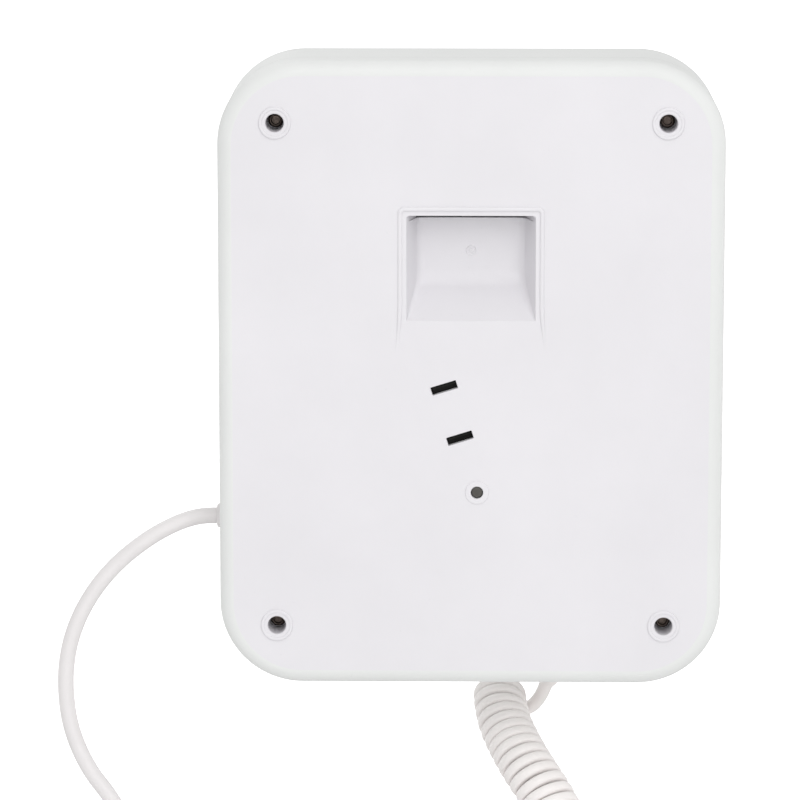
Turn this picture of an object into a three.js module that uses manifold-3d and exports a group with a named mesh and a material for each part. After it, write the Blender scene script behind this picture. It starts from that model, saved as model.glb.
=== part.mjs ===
// A slimline wall telephone with a push-button keypad, a handset that hangs in a sprung yoke,
// a two-gong ringer, a curly handset cord and a line cord put away in a tied coil.
// Millimetres. +X is to the right seen from the front, the front faces -Y, and +Z is up.
// The origin is the middle of the flat rear face, which lies against the wall at y = 0.

import * as THREE from "three";
import { ConvexGeometry } from "three/addons/geometries/ConvexGeometry.js";
import { mergeVertices } from "three/addons/utils/BufferGeometryUtils.js";
import Module from "manifold-3d";

const wasm = await Module();
wasm.setup();

// ---------------------------------------------------------------- driving dimensions

// Shared clearances and fineness
const SEAT_GAP = 0.3; // between pieces that touch
const SLIDE_GAP = 0.4; // round pieces that slide in a window
const PAST = 1; // how far a cutter runs past the face that it opens
const ROOT = 0.5; // how far a joined piece reaches into the other
const ARC_STEPS = 3; // half the straight steps in each drawn arc
const EDGE_STEPS = 3; // steps in a rounded edge
const ROUND_SIDES = 16; // sides of small round pieces
const CAP_SIDES = 24;
const POST_SIDES = 10;
const BORE_SIDES = 8; // of a screw's hole
const COARSE_SIDES = 6;
const GONG_SIDES = 18;
const GAP_SAMPLES = 4; // points per step when gaps in a wound tube are measured

// Case
const CASE_WIDTH = 157;
const CASE_HEIGHT = 196;
const CASE_DEPTH = 50;
const CASE_CORNER_RADIUS = 26;
const CASE_WALL = 2.4;
const REAR_EDGE_RADIUS = 4.5;
const FRONT_EDGE_RADIUS = 6;
const REAR_COVER_DEPTH = 14;
const LIP_THICKNESS = 1.2;
const LIP_HEIGHT = 2.5; // how far the rear cover's lip stands inside the front shell
const LIP_ROOT = 4; // how far it is joined to the rear cover's wall

// Case screws and their wells
const SCREW_SIDE_INSET = 18; // from the case's side to a screw's axis
const SCREW_END_INSET = 19; // from its top or bottom
const WELL_BORE_RADIUS = 2.8;
const WELL_DEPTH = 10.8;
const WELL_WALL = 2.1;
const WELL_RING_RADIUS = 5;
const WELL_RING_HEIGHT = 0.5;
const WELL_STEP_RADIUS = 4;
const WELL_STEP_HEIGHT = 0.25;
const SCREW_HEAD_RADIUS = 2.4;
const SCREW_HEAD_HEIGHT = 2;
const SCREW_SHANK_RADIUS = 1.25;
const SCREW_LENGTH = 14;
const SCREW_CROSS_WIDTH = 0.7;
const SCREW_CROSS_DEPTH = 1.1;
const SCREW_CROSS_ARM = 1.4;
const SCREW_HEAD_TAPER = 0.35;
const POST_RADIUS = 4;

// Hang recess and its raised frame
const RECESS_TOP_INSET = 47.6; // from the case's top to the recess's upper lip
const RECESS_MOUTH_WIDTH = 39.8;
const RECESS_MOUTH_HEIGHT = 32.9;
const RECESS_FLOOR_WIDTH = 33;
const RECESS_FLOOR_HEIGHT = 21.4; // flat floor, above the ramp
const RECESS_DEPTH = 12;
const RECESS_WALL = 2;
const UNDERCUT_HEIGHT = 3.6; // pocket behind the upper lip, for the wall bracket's tongue
const LIP_PLATE = 3;
const FRAME_LAND = 1.4; // flat land between the recess and its frame
const FRAME_WIDTH = 1.3;
const FRAME_HEIGHT = 0.5;
const FRAME_LEG_BELOW = 7; // how far the frame's legs run past the ramp
const FRAME_LEG_FLARE = 1.1;
const FRAME_CORNER_RADIUS = 1.8;

// Ringer: placed on its lower slot, tilted about the wall's normal
const RINGER_X = 3.3;
const RINGER_Z = -19.3;
const RINGER_TILT = THREE.MathUtils.degToRad(17.3);
const RINGER_SLOT_LENGTH = 7.9;
const RINGER_SLOT_WIDTH = 2.4;
const RINGER_SLOT_SPACING = 16.6;
const RINGER_PEG_DROP = 18; // from the lower slot to the peg
const RINGER_PEG_RADIUS = 1.6;
const RINGER_PEG_SUNK = 0.7; // the peg's end below the rear face
const RINGER_RING_RADIUS = 3.7;
const RINGER_RING_HEIGHT = 0.35;
const RINGER_FRAME_WIDTH = 22;
const RINGER_FRAME_TOP = 22;
const RINGER_FRAME_THICKNESS = 1.6;
const RINGER_TAB_DEPTH = 1; // how far the frame's tabs stand in the slots
const GONG_RADIUS = 21;
const GONG_DEPTH = 12;
const GONG_WALL = 1.2;
const GONG_FLANK = 20; // radius and depth part way down the flank
const GONG_FLANK_DEPTH = 6;
const GONG_SHOULDER = 17.2; // where the flank turns into the crown
const GONG_SHOULDER_DEPTH = 9.9;
const GONG_CROWN = 11.5;
const GONG_HOLE_RADIUS = 2;
const GONG_SPACING = 51;
const GONG_DROP = 33; // from the lower slot to the gongs' centres
const GONG_STAND_OFF = 6; // from the frame to a gong's rim
const GONG_POST_RADIUS = 3;
const CROSSBAR_HEIGHT = 10;
const RINGER_COIL_RADIUS = 7.5;
const RINGER_COIL_LENGTH = 16;
const RINGER_CORE_RADIUS = 2.4;
const CLAPPER_ROD_RADIUS = 0.9;
const HAMMER_RADIUS = 2.6;
const HAMMER_OVERLAP = 2; // how far behind the gongs' rims it ends
const CLAPPER_PIVOT_RISE = 1; // from the lower slot to the clapper's pivot
const ARMATURE_WIDTH = 15;
const ARMATURE_HEIGHT = 6;
const ARMATURE_THICKNESS = 2;
const ARMATURE_POST = 3;
const RINGER_COIL_FLANGE = 1.2;
const RINGER_COIL_GROOVE = 1;
const GONG_SCREW_HEAD_RADIUS = 3.5;
const GONG_SCREW_HEAD_HEIGHT = 1.6;
const GONG_SCREW_SLOT_WIDTH = 0.8;
const GONG_SCREW_SLOT_DEPTH = 0.8;
const RINGER_COIL_DROP = 9.5; // from the frame's top to the coil's axis

// Ringer loudness lever in the case's bottom
const LEVER_X = 40;
const LEVER_BACK = 30; // from the wall to its middle
const LEVER_WIDTH = 5;
const LEVER_DEPTH = 3.2;
const LEVER_STAND = 2.5; // how far it stands out below the case
const LEVER_TRAVEL = 6;
const LEVER_FLANGE = 2;
const LEVER_FLANGE_HEIGHT = 1.5;

// Handset bay, handset and its caps
const HANDSET_SIDE_INSET = 40.5; // from the case's left side to the handset's middle
const HANDSET_WIDTH = 46;
const HANDSET_WAIST = 39;
const HANDSET_TOP_INSET = 6; // below the case's top
const HANDSET_BELOW_CASE = 6; // past the case's bottom
const HANDSET_SWEEP = 46; // length of the curves' handles at the waist
const HANDSET_THICKNESS = 18;
const HANDSET_END_RADIUS = 20;
const HANDSET_WALL = 2;
const HANDSET_FRONT_EDGE = 7;
const HANDSET_BACK_EDGE = 3;
const HANDSET_INNER_EDGE = 1;
const BAY_WIDTH = 54;
const BAY_DEPTH = 3;
const CAP_END_INSET = 26; // from the handset's end to a cap's middle
const CAP_CLEARANCE = 0.8; // between the caps and the bay's floor
const CAP_THICKNESS = 6;
const CAP_WALL = 2;
const CAP_HOLE_RADIUS = 1.2;
const CAP_HOLE_CIRCLE = 7;
const CAP_HOLES = 6; // round the middle one
const CAP_EDGE = 1.4;
const CAP_DISH = 0.7; // how far the face is dished
const CAP_FACE = 2.4; // thickness
const NECK_LENGTH = 7.2;
const NECK_WALL = 2;
const EAR_CAP_RADIUS = 22;
const EAR_NECK_RADIUS = 19;
const MOUTH_CAP_RADIUS = 20;
const MOUTH_NECK_RADIUS = 17;
const CAPSULE_THICKNESS = 9;
const CAPSULE_STEP = 3; // its front half is smaller by this in radius
const WEIGHT_WIDTH = 16;
const WEIGHT_THICKNESS = 7.5;
const WEIGHT_LENGTH = 50;
const HANDSET_SCREW_INSET = 62; // from each end of the handset
const HANDSET_POST_RADIUS = 3.4;
const HANDSET_SCREW_LENGTH = 9;
const HANDSET_SCREW_HEAD = 1.6;
const HANDSET_COUNTERBORE = 2.2; // how far the screw heads are sunk in the inner shell

// Hook: yoke, pin, bracket, spring and switch
const YOKE_WIDTH = 42;
const YOKE_THICKNESS = 4.4;
const YOKE_GAP = 0.3; // under the handset's neck
const YOKE_BELOW_NECK = 8.5; // the yoke's height under the neck
const YOKE_PRONG_RISE = 9.5; // how far its prongs stand up beside the neck
const ARM_WIDTH = 22;
const ARM_THICKNESS = 3;
const HOOK_PIVOT_BACK = 35; // from the wall to the pin
const HOOK_PIVOT_UNDER_ARM = 2; // from the arm's underside to the pin
const HOOK_PIN_RADIUS = 1.5;
const HOOK_HUB_RADIUS = 3.4;
const HOOK_TAIL_WIDTH = 6;
const HOOK_TAIL_THICKNESS = 2;
const ARM_ROOT = 2.5; // from the hub to where the arm has its full width
const YOKE_CORNER = 4;
const YOKE_EDGE = 1;
const HOOK_HUB_LENGTH = 15;
const HOOK_TAIL_HEIGHT = 14;
const HOOK_SLOT_RISE = 3.6; // room above the arm for its swing
const EAR_PLATE_GAP = 1.4; // between the arm and the bracket's ears
const EAR_PLATE_THICKNESS = 2;
const EAR_PLATE_BEHIND_PIN = 5;
const EAR_PLATE_HALF_HEIGHT = 6;
const PIN_OVERHANG = 1; // past each ear
const BRACKET_PLATE = 2;
const BRACKET_BORDER = 3; // beside the ears
const BRACKET_BELOW_PIN = 12;
const BRACKET_WINDOW_BORDER = 1.8; // under and over the arm's slot
const SHELF_ABOVE_TAIL = 6;
const SHELF_LENGTH = 14;
const HOOK_SPRING_WIRE_RADIUS = 0.4;
const HOOK_SPRING_TURNS = 3;
const HOOK_SPRING_PITCH = 1.4;
const SWITCH_WIDTH = 10;
const SWITCH_DEPTH = 9;
const SWITCH_HEIGHT = 11;
const SWITCH_GAP = 2.9; // between the hook's tail and the switch
const SWITCH_OVERHANG = 1; // past the arm's side

// Keypad
const KEYPAD_SIDE_INSET = 44.5; // from the case's right side to the keypad's middle
const KEY_PITCH_X = 19;
const KEY_PITCH_Z = 18;
const KEY_COLUMNS = 3;
const KEY_ROWS = 4;
const KEY_WIDTH = 13;
const KEY_HEIGHT = 10.4;
const KEY_CORNER_RADIUS = 2.2;
const KEY_STAND = 4; // above the case's front
const KEY_EDGE_RADIUS = 0.9;
const KEY_ROOT = 1.1; // how far a cap is rooted in its flange
const KEY_TRAVEL = 2.5;
const KEY_FLANGE = 1.3;
const KEY_FLANGE_THICKNESS = 1.2;
const KEY_STEM_WIDTH = 5;
const KEY_STEM_LENGTH = 1.3;
const BEZEL_BORDER = 8;
const BEZEL_THICKNESS = 2.2;
const BEZEL_STAND = 1.3; // above the case's front
const BEZEL_CORNER_RADIUS = 6;
const SHELL_WINDOW_BORDER = 4; // round the keys' flanges
const MAT_THICKNESS = 1.3;
const DOME_RADIUS = 3;
const BOARD_WIDTH = 62;
const BOARD_HEIGHT = 96;
const BOARD_THICKNESS = 1.6;
const BOARD_RISE = 2; // of the board's middle above the keypad's
const BOARD_POST_RADIUS = 3;
const BOARD_POST_INSET = 4;
const TRANSFORMER = [15, 9, 16]; // width, depth and height of what stands on the board
const CHIP = [8, 3, 22];
const SOCKET = [10, 6, 10];
const CAPACITOR_RADIUS = 5;
const CAPACITOR_LENGTH = 10;
const PART_BORDER = 8; // from the board's top to what stands on it
const PART_SPACING = 16;

// Index card above the keypad
const CARD_WIDTH = 56;
const CARD_HEIGHT = 17;
const CARD_TOP_INSET = 36; // from the case's top to the card's middle
const CARD_CORNER = 1;
const CARD_THICKNESS = 0.3;
const CARD_WINDOW_BORDER = 1.5;
const CARD_WINDOW_THICKNESS = 1;
const CARD_RECESS_DEPTH = 1.5;
const CARD_WINDOW_CORNER = 2;

// Louvres for the ringer's sound
const LOUVRE_COUNT = 5;
const LOUVRE_LENGTH = 44;
const LOUVRE_WIDTH = 2.6;
const LOUVRE_PITCH = 5.4;
const LOUVRE_DROP = 65; // from the keypad's middle to the middle louvre

// Curly cord
const CURLY_WIRE_DIAMETER = 4.5;
const CURL_MEAN_RADIUS = 6.4;
const CURL_GAP = 0.5; // between neighbouring curls, on the inside of a bend
const STEPS_PER_CURL = 8;
const CURLY_AXIS_SAMPLES = 4000;
const CURLY_LEAD_STEPS = 3;
const CURLY_SIDES = 5;
const CURLY_OUTLET_X = -28;
const CURLY_OUTLET_BACK = 40;
const CURLY_GROMMET_RADIUS = 3.6;
const CURLY_GROMMET_HEIGHT = 1.6;
const CURLY_GROMMET_INSIDE = 3;
const CURLY_START_TURN = THREE.MathUtils.degToRad(150);
// From under the outlet to the first curl
const CURLY_TAIL = [
  [-28, -40, -99.9],
  [-28, -40.2, -104.4],
  [-27.5, -43.6, -108],
  [-25.9, -49.6, -110.8],
  [-23.4, -54.6, -113.3],
  [-20, -57.2, -115.9],
];
// Down the middle of the curls: out to the wall, down it, round and up towards the handset
const CURLY_AXIS = [
  [-10.9, -56, -116.1],
  [-12, -48.5, -119.9],
  [-14.2, -38.4, -125.6],
  [-19, -28, -131.8],
  [-24.6, -18.6, -139.2],
  [-28.2, -13, -148.6],
  [-30.2, -10.2, -161],
  [-31, -9.6, -176],
  [-31, -9.6, -194],
  [-31, -10.2, -210],
  [-31, -15.6, -228],
  [-31, -27, -240.4],
  [-31, -42, -244],
  [-31, -56.6, -238],
  [-31, -66.6, -225],
  [-31, -70, -209],
  [-31, -70, -192],
  [-31, -70, -174],
];
// From the last curl up to the handset's boot
const CURLY_RETURN = [
  [-27.2, -70, -158],
  [-22.6, -70, -149.6],
  [-17.4, -70, -141],
  [-13.8, -70, -133.4],
  [-12, -70, -124],
];

// Handset cord boot
const BOOT_OFFSET_X = 18; // from the handset's middle
const BOOT_ROOT_RISE = 9; // above the handset's lower end
const BOOT_LEAN = THREE.MathUtils.degToRad(20);
const BOOT_LENGTH = 14;
const BOOT_ROOT_RADIUS = 4;
const BOOT_TIP_RADIUS = 3;
const BOOT_INSIDE = 4; // how far it reaches into the handset from its root
const BOOT_SHOULDER = 2; // from its root to where it starts to taper

// Line cord
const LINE_DIAMETER = 5.2;
const LINE_SIDES = 8;
const LINE_STEPS = 20;
const GLAND_RISE = 49; // above the case's bottom
const GLAND_BACK = 25; // from the wall
const GLAND_FLANGE_RADIUS = 3.9;
const GLAND_FLANGE_THICKNESS = 1.6;
const GLAND_BODY_RADIUS = 3;
const GLAND_INSIDE_LENGTH = 6;
// From the gland, round beside the case and down to the tied coil
const LINE_ROUTE = [
  [80.4, -25, -49],
  [85.6, -24.8, -49.3],
  [91, -24.2, -50.6],
  [98.6, -23, -54],
  [106, -21.6, -58.8],
  [113, -20.4, -64.8],
  [118.8, -19, -71.6],
  [123.4, -17.8, -79.2],
  [126.6, -16.6, -87.4],
  [128.4, -15.4, -96],
  [128.6, -14.4, -105],
  [127.2, -13.4, -113.8],
  [124.4, -12.4, -122],
  [120.2, -11.2, -129.8],
  [115, -10, -136.6],
  [110.4, -8.8, -144],
  [107, -7.6, -153],
  [105.4, -6.4, -164],
  [105, -5.4, -175],
  [105, -5, -184.5],
];
const COIL_TURNS = 9;
const COIL_LAYERS = 4;
const COIL_MEAN_RADIUS = 30;
const COIL_GAP = 0.5; // between neighbouring turns
const COIL_STEPS_PER_TURN = 24;
const COIL_CLIMB_TURNS = 0.5; // how much of a turn the climb to the next layer takes
const COIL_SIDES = 6;
const COIL_TAIL_DROP = 46; // straight from the coil down to the plug
const TIE_WIDTH = 5;
const TIE_THICKNESS = 1.2;
const TIE_GAP = 0.5;
const PLUG_WIDTH = 11.7;
const PLUG_DEPTH = 6.8;
const PLUG_LENGTH = 21.5;
const PLUG_LATCH_WIDTH = 6;
const PLUG_LATCH_LENGTH = 15;
const PLUG_LATCH_THICKNESS = 1.2;
const PLUG_LATCH_STAND = 1.4;
const PLUG_LATCH_FOOT = 3; // length of the root that joins the latch to the plug
const PLUG_LATCH_INSET = 1; // from the plug's nose

// ---------------------------------------------------------------- places worked out from them

const caseTop = CASE_HEIGHT / 2;
const caseBottom = -CASE_HEIGHT / 2;
const caseSide = CASE_WIDTH / 2;
const seamRear = -REAR_COVER_DEPTH;
const seamFront = seamRear - SEAT_GAP;
const caseFront = -CASE_DEPTH;
const frontInner = caseFront + CASE_WALL;
const cardZ = caseTop - CARD_TOP_INSET;
const bayFloor = caseFront + BAY_DEPTH;
const bayInner = bayFloor + CASE_WALL;
const screwPlaces = [
  [1, 1],
  [-1, 1],
  [-1, -1],
  [1, -1],
].map(([x, z]) => [x * (caseSide - SCREW_SIDE_INSET), z * (caseTop - SCREW_END_INSET)]);
const wellFloor = -WELL_DEPTH;
const wellEnd = wellFloor - WELL_WALL;

const handsetX = -caseSide + HANDSET_SIDE_INSET;
const handsetTop = caseTop - HANDSET_TOP_INSET;
const handsetBottom = caseBottom - HANDSET_BELOW_CASE;
const handsetZ = (handsetTop + handsetBottom) / 2;
const capFace = bayFloor - CAP_CLEARANCE;
const capBack = capFace - CAP_THICKNESS;
const handsetRear = capBack - NECK_LENGTH;
const handsetFront = handsetRear - HANDSET_THICKNESS;
const handsetSeam = handsetRear - HANDSET_THICKNESS / 2;
const earZ = handsetTop - CAP_END_INSET;
const mouthZ = handsetBottom + CAP_END_INSET;

const yokeMiddle = (capBack + handsetRear) / 2;
const neckBottom = earZ - EAR_NECK_RADIUS - YOKE_GAP;
const armBottom = neckBottom - YOKE_BELOW_NECK;
const armTop = armBottom + ARM_THICKNESS;
const pivotY = -HOOK_PIVOT_BACK;
const pivotZ = armBottom - HOOK_PIVOT_UNDER_ARM;

const keypadX = caseSide - KEYPAD_SIDE_INSET;
const keypadWidth = (KEY_COLUMNS - 1) * KEY_PITCH_X + KEY_WIDTH;
const keypadHeight = (KEY_ROWS - 1) * KEY_PITCH_Z + KEY_HEIGHT;
const bezelFront = caseFront - BEZEL_STAND;
const bezelRear = bezelFront + BEZEL_THICKNESS;
const keyFront = caseFront - KEY_STAND;
const flangeFront = bezelRear + SLIDE_GAP;
const flangeRear = flangeFront + KEY_FLANGE_THICKNESS;
const stemEnd = flangeRear + KEY_STEM_LENGTH;
const domeTop = stemEnd + KEY_TRAVEL + SEAT_GAP;
const matFront = domeTop + 2 * MAT_THICKNESS;
const matRear = matFront + MAT_THICKNESS;
const boardFront = matRear + SEAT_GAP;

const glandZ = caseBottom + GLAND_RISE;

// ---------------------------------------------------------------- solids

function solidOf(geometry) {
  const bare = geometry.index ? geometry.toNonIndexed() : geometry.clone();
  bare.deleteAttribute("normal");
  bare.deleteAttribute("uv");
  const merged = mergeVertices(bare, 1e-4);
  return new wasm.Manifold(
    new wasm.Mesh({
      numProp: 3,
      vertProperties: merged.attributes.position.array,
      triVerts: new Uint32Array(merged.index.array),
    }),
  );
}

function geometryOf(solid) {
  const mesh = solid.getMesh();
  const positions = new Float32Array(mesh.numVert * 3);
  for (let i = 0; i < mesh.numVert; i++) {
    positions.set(mesh.vertProperties.subarray(i * mesh.numProp, i * mesh.numProp + 3), i * 3);
  }
  const indexed = new THREE.BufferGeometry()
    .setAttribute("position", new THREE.BufferAttribute(positions, 3))
    .setIndex(new THREE.BufferAttribute(mesh.triVerts, 1));
  const geometry = indexed.toNonIndexed();
  geometry.computeVertexNormals();
  return geometry;
}

const join = (first, ...others) => others.reduce((whole, piece) => whole.add(piece), first);
const cut = (first, ...others) => others.reduce((whole, piece) => whole.subtract(piece), first);

// A box between two corners.
function block([x0, y0, z0], [x1, y1, z1]) {
  const size = [x1 - x0, y1 - y0, z1 - z0].map(Math.abs);
  const geometry = new THREE.BoxGeometry(...size);
  geometry.translate((x0 + x1) / 2, (y0 + y1) / 2, (z0 + z1) / 2);
  return solidOf(geometry);
}

// A round rod along Y, from rearY towards the front.
function rodY(x, z, radius, rearY, length, sides = ROUND_SIDES) {
  const geometry = new THREE.CylinderGeometry(radius, radius, length, sides);
  geometry.translate(x, rearY - length / 2, z);
  return solidOf(geometry);
}

// A round rod along X.
function rodX(x0, x1, y, z, radius, sides = ROUND_SIDES) {
  const geometry = new THREE.CylinderGeometry(radius, radius, Math.abs(x1 - x0), sides);
  geometry.rotateZ(Math.PI / 2);
  geometry.translate((x0 + x1) / 2, y, z);
  return solidOf(geometry);
}

// A round rod along Z.
function rodZ(x, y, z0, z1, radius, sides = ROUND_SIDES) {
  const geometry = new THREE.CylinderGeometry(radius, radius, Math.abs(z1 - z0), sides);
  geometry.rotateX(Math.PI / 2);
  geometry.translate(x, y, (z0 + z1) / 2);
  return solidOf(geometry);
}

// A rectangle with round corners, drawn in X and Z about a middle.
function roundedRectangle(width, height, radius, middleX = 0, middleZ = 0) {
  const shape = new THREE.Shape();
  const x = width / 2 - radius;
  const z = height / 2 - radius;
  shape.absarc(middleX + x, middleZ + z, radius, 0, Math.PI / 2);
  shape.absarc(middleX - x, middleZ + z, radius, Math.PI / 2, Math.PI);
  shape.absarc(middleX - x, middleZ - z, radius, Math.PI, 1.5 * Math.PI);
  shape.absarc(middleX + x, middleZ - z, radius, 1.5 * Math.PI, 2 * Math.PI);
  return shape;
}

// A shape drawn in X and Z, made solid from rearY towards the front by depth, with its edges rounded.
function slab(shape, rearY, depth, edgeRadius = 0, arcSteps = ARC_STEPS, edgeSteps = EDGE_STEPS) {
  const geometry = new THREE.ExtrudeGeometry(shape, {
    depth: depth - 2 * edgeRadius,
    curveSegments: arcSteps,
    bevelEnabled: edgeRadius > 0,
    bevelThickness: edgeRadius,
    bevelSize: edgeRadius,
    bevelOffset: -edgeRadius,
    bevelSegments: edgeSteps,
  });
  geometry.translate(0, 0, edgeRadius);
  geometry.rotateX(Math.PI / 2);
  geometry.translate(0, rearY, 0);
  return solidOf(geometry);
}

// A profile of [radius, height] points turned about an axis that runs along Y, rear to front.
function turnedY(profile, sides = ROUND_SIDES) {
  const points = profile.map(([radius, height]) => new THREE.Vector2(radius, height));
  const geometry = new THREE.LatheGeometry(points, sides);
  return solidOf(geometry);
}

// A tube of flat rings through the centres, closed at both ends.
function tubeThrough(centres, radius, sides) {
  const count = centres.length;
  const tangents = centres.map((_, i) =>
    centres[Math.min(i + 1, count - 1)].clone().sub(centres[Math.max(i - 1, 0)]).normalize(),
  );
  const up = new THREE.Vector3(0, 0, 1);
  const normal = Math.abs(tangents[0].dot(up)) > 0.9 ? new THREE.Vector3(1, 0, 0) : up;
  const positions = [];
  centres.forEach((centre, i) => {
    normal.addScaledVector(tangents[i], -normal.dot(tangents[i])).normalize();
    const side = tangents[i].clone().cross(normal);
    for (let k = 0; k < sides; k++) {
      const angle = (2 * Math.PI * k) / sides;
      const point = centre.clone();
      point.addScaledVector(normal, radius * Math.cos(angle));
      point.addScaledVector(side, radius * Math.sin(angle));
      positions.push(point.x, point.y, point.z);
    }
  });
  const index = [];
  for (let i = 0; i + 1 < count; i++) {
    for (let k = 0; k < sides; k++) {
      const a = i * sides + k;
      const b = i * sides + ((k + 1) % sides);
      index.push(a, b, a + sides, b, b + sides, a + sides);
    }
  }
  for (let k = 1; k + 1 < sides; k++) {
    const last = (count - 1) * sides;
    index.push(0, k + 1, k);
    index.push(last, last + k, last + k + 1);
  }
  return new THREE.BufferGeometry()
    .setAttribute("position", new THREE.Float32BufferAttribute(positions, 3))
    .setIndex(index);
}

// The least gap between a wound tube's stretches that lie more than half a turn apart.
function leastGap(centres, diameter, meanRadius) {
  const fine = [];
  const along = [];
  let length = 0;
  for (let i = 0; i + 1 < centres.length; i++) {
    const stretch = centres[i].distanceTo(centres[i + 1]);
    for (let k = 0; k < GAP_SAMPLES; k++) {
      fine.push(centres[i].clone().lerp(centres[i + 1], k / GAP_SAMPLES));
      along.push(length + (stretch * k) / GAP_SAMPLES);
    }
    length += stretch;
  }
  let least = Infinity;
  const apart = Math.PI * meanRadius;
  for (let i = 0; i < fine.length; i++) {
    for (let j = i + 1; j < fine.length; j++) {
      if (along[j] - along[i] > apart) {
        least = Math.min(least, fine[i].distanceTo(fine[j]));
      }
    }
  }
  return least - diameter;
}

const vectors = (points) => points.map((point) => new THREE.Vector3(...point));

function pathLength(centres) {
  return centres.reduce((sum, point, i) => sum + (i ? point.distanceTo(centres[i - 1]) : 0), 0);
}

// ---------------------------------------------------------------- materials

const plastic = (color, roughness = 0.45) =>
  new THREE.MeshStandardMaterial({ color, roughness, metalness: 0 });
const metal = (color, roughness = 0.35) =>
  new THREE.MeshStandardMaterial({ color, roughness, metalness: 1 });
const whiteShell = plastic(0xeceaf0);
const whiteCord = plastic(0xe9e4e2, 0.5);
const darkScrew = metal(0x4b443e, 0.5);
const steel = metal(0xa9abad);
const brass = metal(0xc9a45c, 0.3);
const copper = metal(0xb06a3b, 0.4);
const greyKey = plastic(0x5a5d63);
const greyBezel = plastic(0xc9cad0);
const rubber = plastic(0x8a8c90, 0.8);
const blackPlastic = plastic(0x26272a);
const boardGreen = plastic(0x2f6b46, 0.6);
const clearPlastic = new THREE.MeshStandardMaterial({
  color: 0xdfe6ea,
  roughness: 0.1,
  metalness: 0,
  transparent: true,
  opacity: 0.4,
});
const paper = plastic(0xf6f4ec, 0.9);

function addPiece(group, name, shape, material, place = [0, 0, 0]) {
  const geometry = shape.isBufferGeometry ? shape : geometryOf(shape);
  const mesh = new THREE.Mesh(geometry, material.clone());
  mesh.name = name;
  mesh.position.set(...place);
  group.add(mesh);
  return mesh;
}

// ---------------------------------------------------------------- case

const caseOutline = (inset = 0) =>
  roundedRectangle(
    CASE_WIDTH - 2 * inset,
    CASE_HEIGHT - 2 * inset,
    CASE_CORNER_RADIUS - inset,
  );

// The part of the case's space between two depths.
const depthBand = (rearY, frontY) =>
  block([-CASE_WIDTH, rearY, -CASE_HEIGHT], [CASE_WIDTH, frontY, CASE_HEIGHT]);

function ringerPlace(solid) {
  return solid
    .rotate([0, THREE.MathUtils.radToDeg(RINGER_TILT), 0])
    .translate([RINGER_X, 0, RINGER_Z]);
}

function hangRecess() {
  const lip = caseTop - RECESS_TOP_INSET;
  const crease = lip - RECESS_FLOOR_HEIGHT;
  const bottom = lip - RECESS_MOUTH_HEIGHT;
  const mouth = RECESS_MOUTH_WIDTH / 2;
  const floor = RECESS_FLOOR_WIDTH / 2;
  const pocket = (grow, top) =>
    solidOf(
      new ConvexGeometry(
        [-1, 1].flatMap((side) => [
          new THREE.Vector3(side * (mouth + grow), 0, bottom - grow),
          new THREE.Vector3(side * (mouth + grow), 0, top),
          new THREE.Vector3(side * (floor + grow), -RECESS_DEPTH - grow, crease),
          new THREE.Vector3(side * (floor + grow), -RECESS_DEPTH - grow, top),
        ]),
      ),
    );
  const backing = pocket(RECESS_WALL, lip + UNDERCUT_HEIGHT + RECESS_WALL);
  const opening = block([-mouth, PAST, bottom], [mouth, 0, lip]);
  const undercut = block(
    [-floor, -LIP_PLATE, lip - PAST],
    [floor, -RECESS_DEPTH, lip + UNDERCUT_HEIGHT],
  );
  const hollow = join(pocket(0, lip), opening, undercut);

  const inner = mouth + FRAME_LAND;
  const outer = inner + FRAME_WIDTH;
  const frameTop = lip + FRAME_LAND + FRAME_WIDTH;
  const legEnd = bottom - FRAME_LEG_BELOW;
  const outline = new THREE.Shape();
  outline.moveTo(outer + FRAME_LEG_FLARE, legEnd);
  outline.lineTo(outer, bottom + FRAME_LEG_BELOW);
  const corner = FRAME_CORNER_RADIUS;
  outline.absarc(outer - corner, frameTop - corner, corner, 0, Math.PI / 2);
  outline.absarc(corner - outer, frameTop - corner, corner, Math.PI / 2, Math.PI);
  outline.lineTo(-outer, bottom + FRAME_LEG_BELOW);
  outline.lineTo(-outer - FRAME_LEG_FLARE, legEnd);
  outline.lineTo(-inner - FRAME_LEG_FLARE, legEnd);
  outline.lineTo(-inner, bottom + FRAME_LEG_BELOW);
  outline.lineTo(-inner, lip + FRAME_LAND);
  outline.lineTo(inner, lip + FRAME_LAND);
  outline.lineTo(inner, bottom + FRAME_LEG_BELOW);
  outline.lineTo(inner + FRAME_LEG_FLARE, legEnd);
  const frame = slab(outline, FRAME_HEIGHT, FRAME_HEIGHT + CASE_WALL / 2, 0, 2);
  return { backing, hollow, frame };
}

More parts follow.
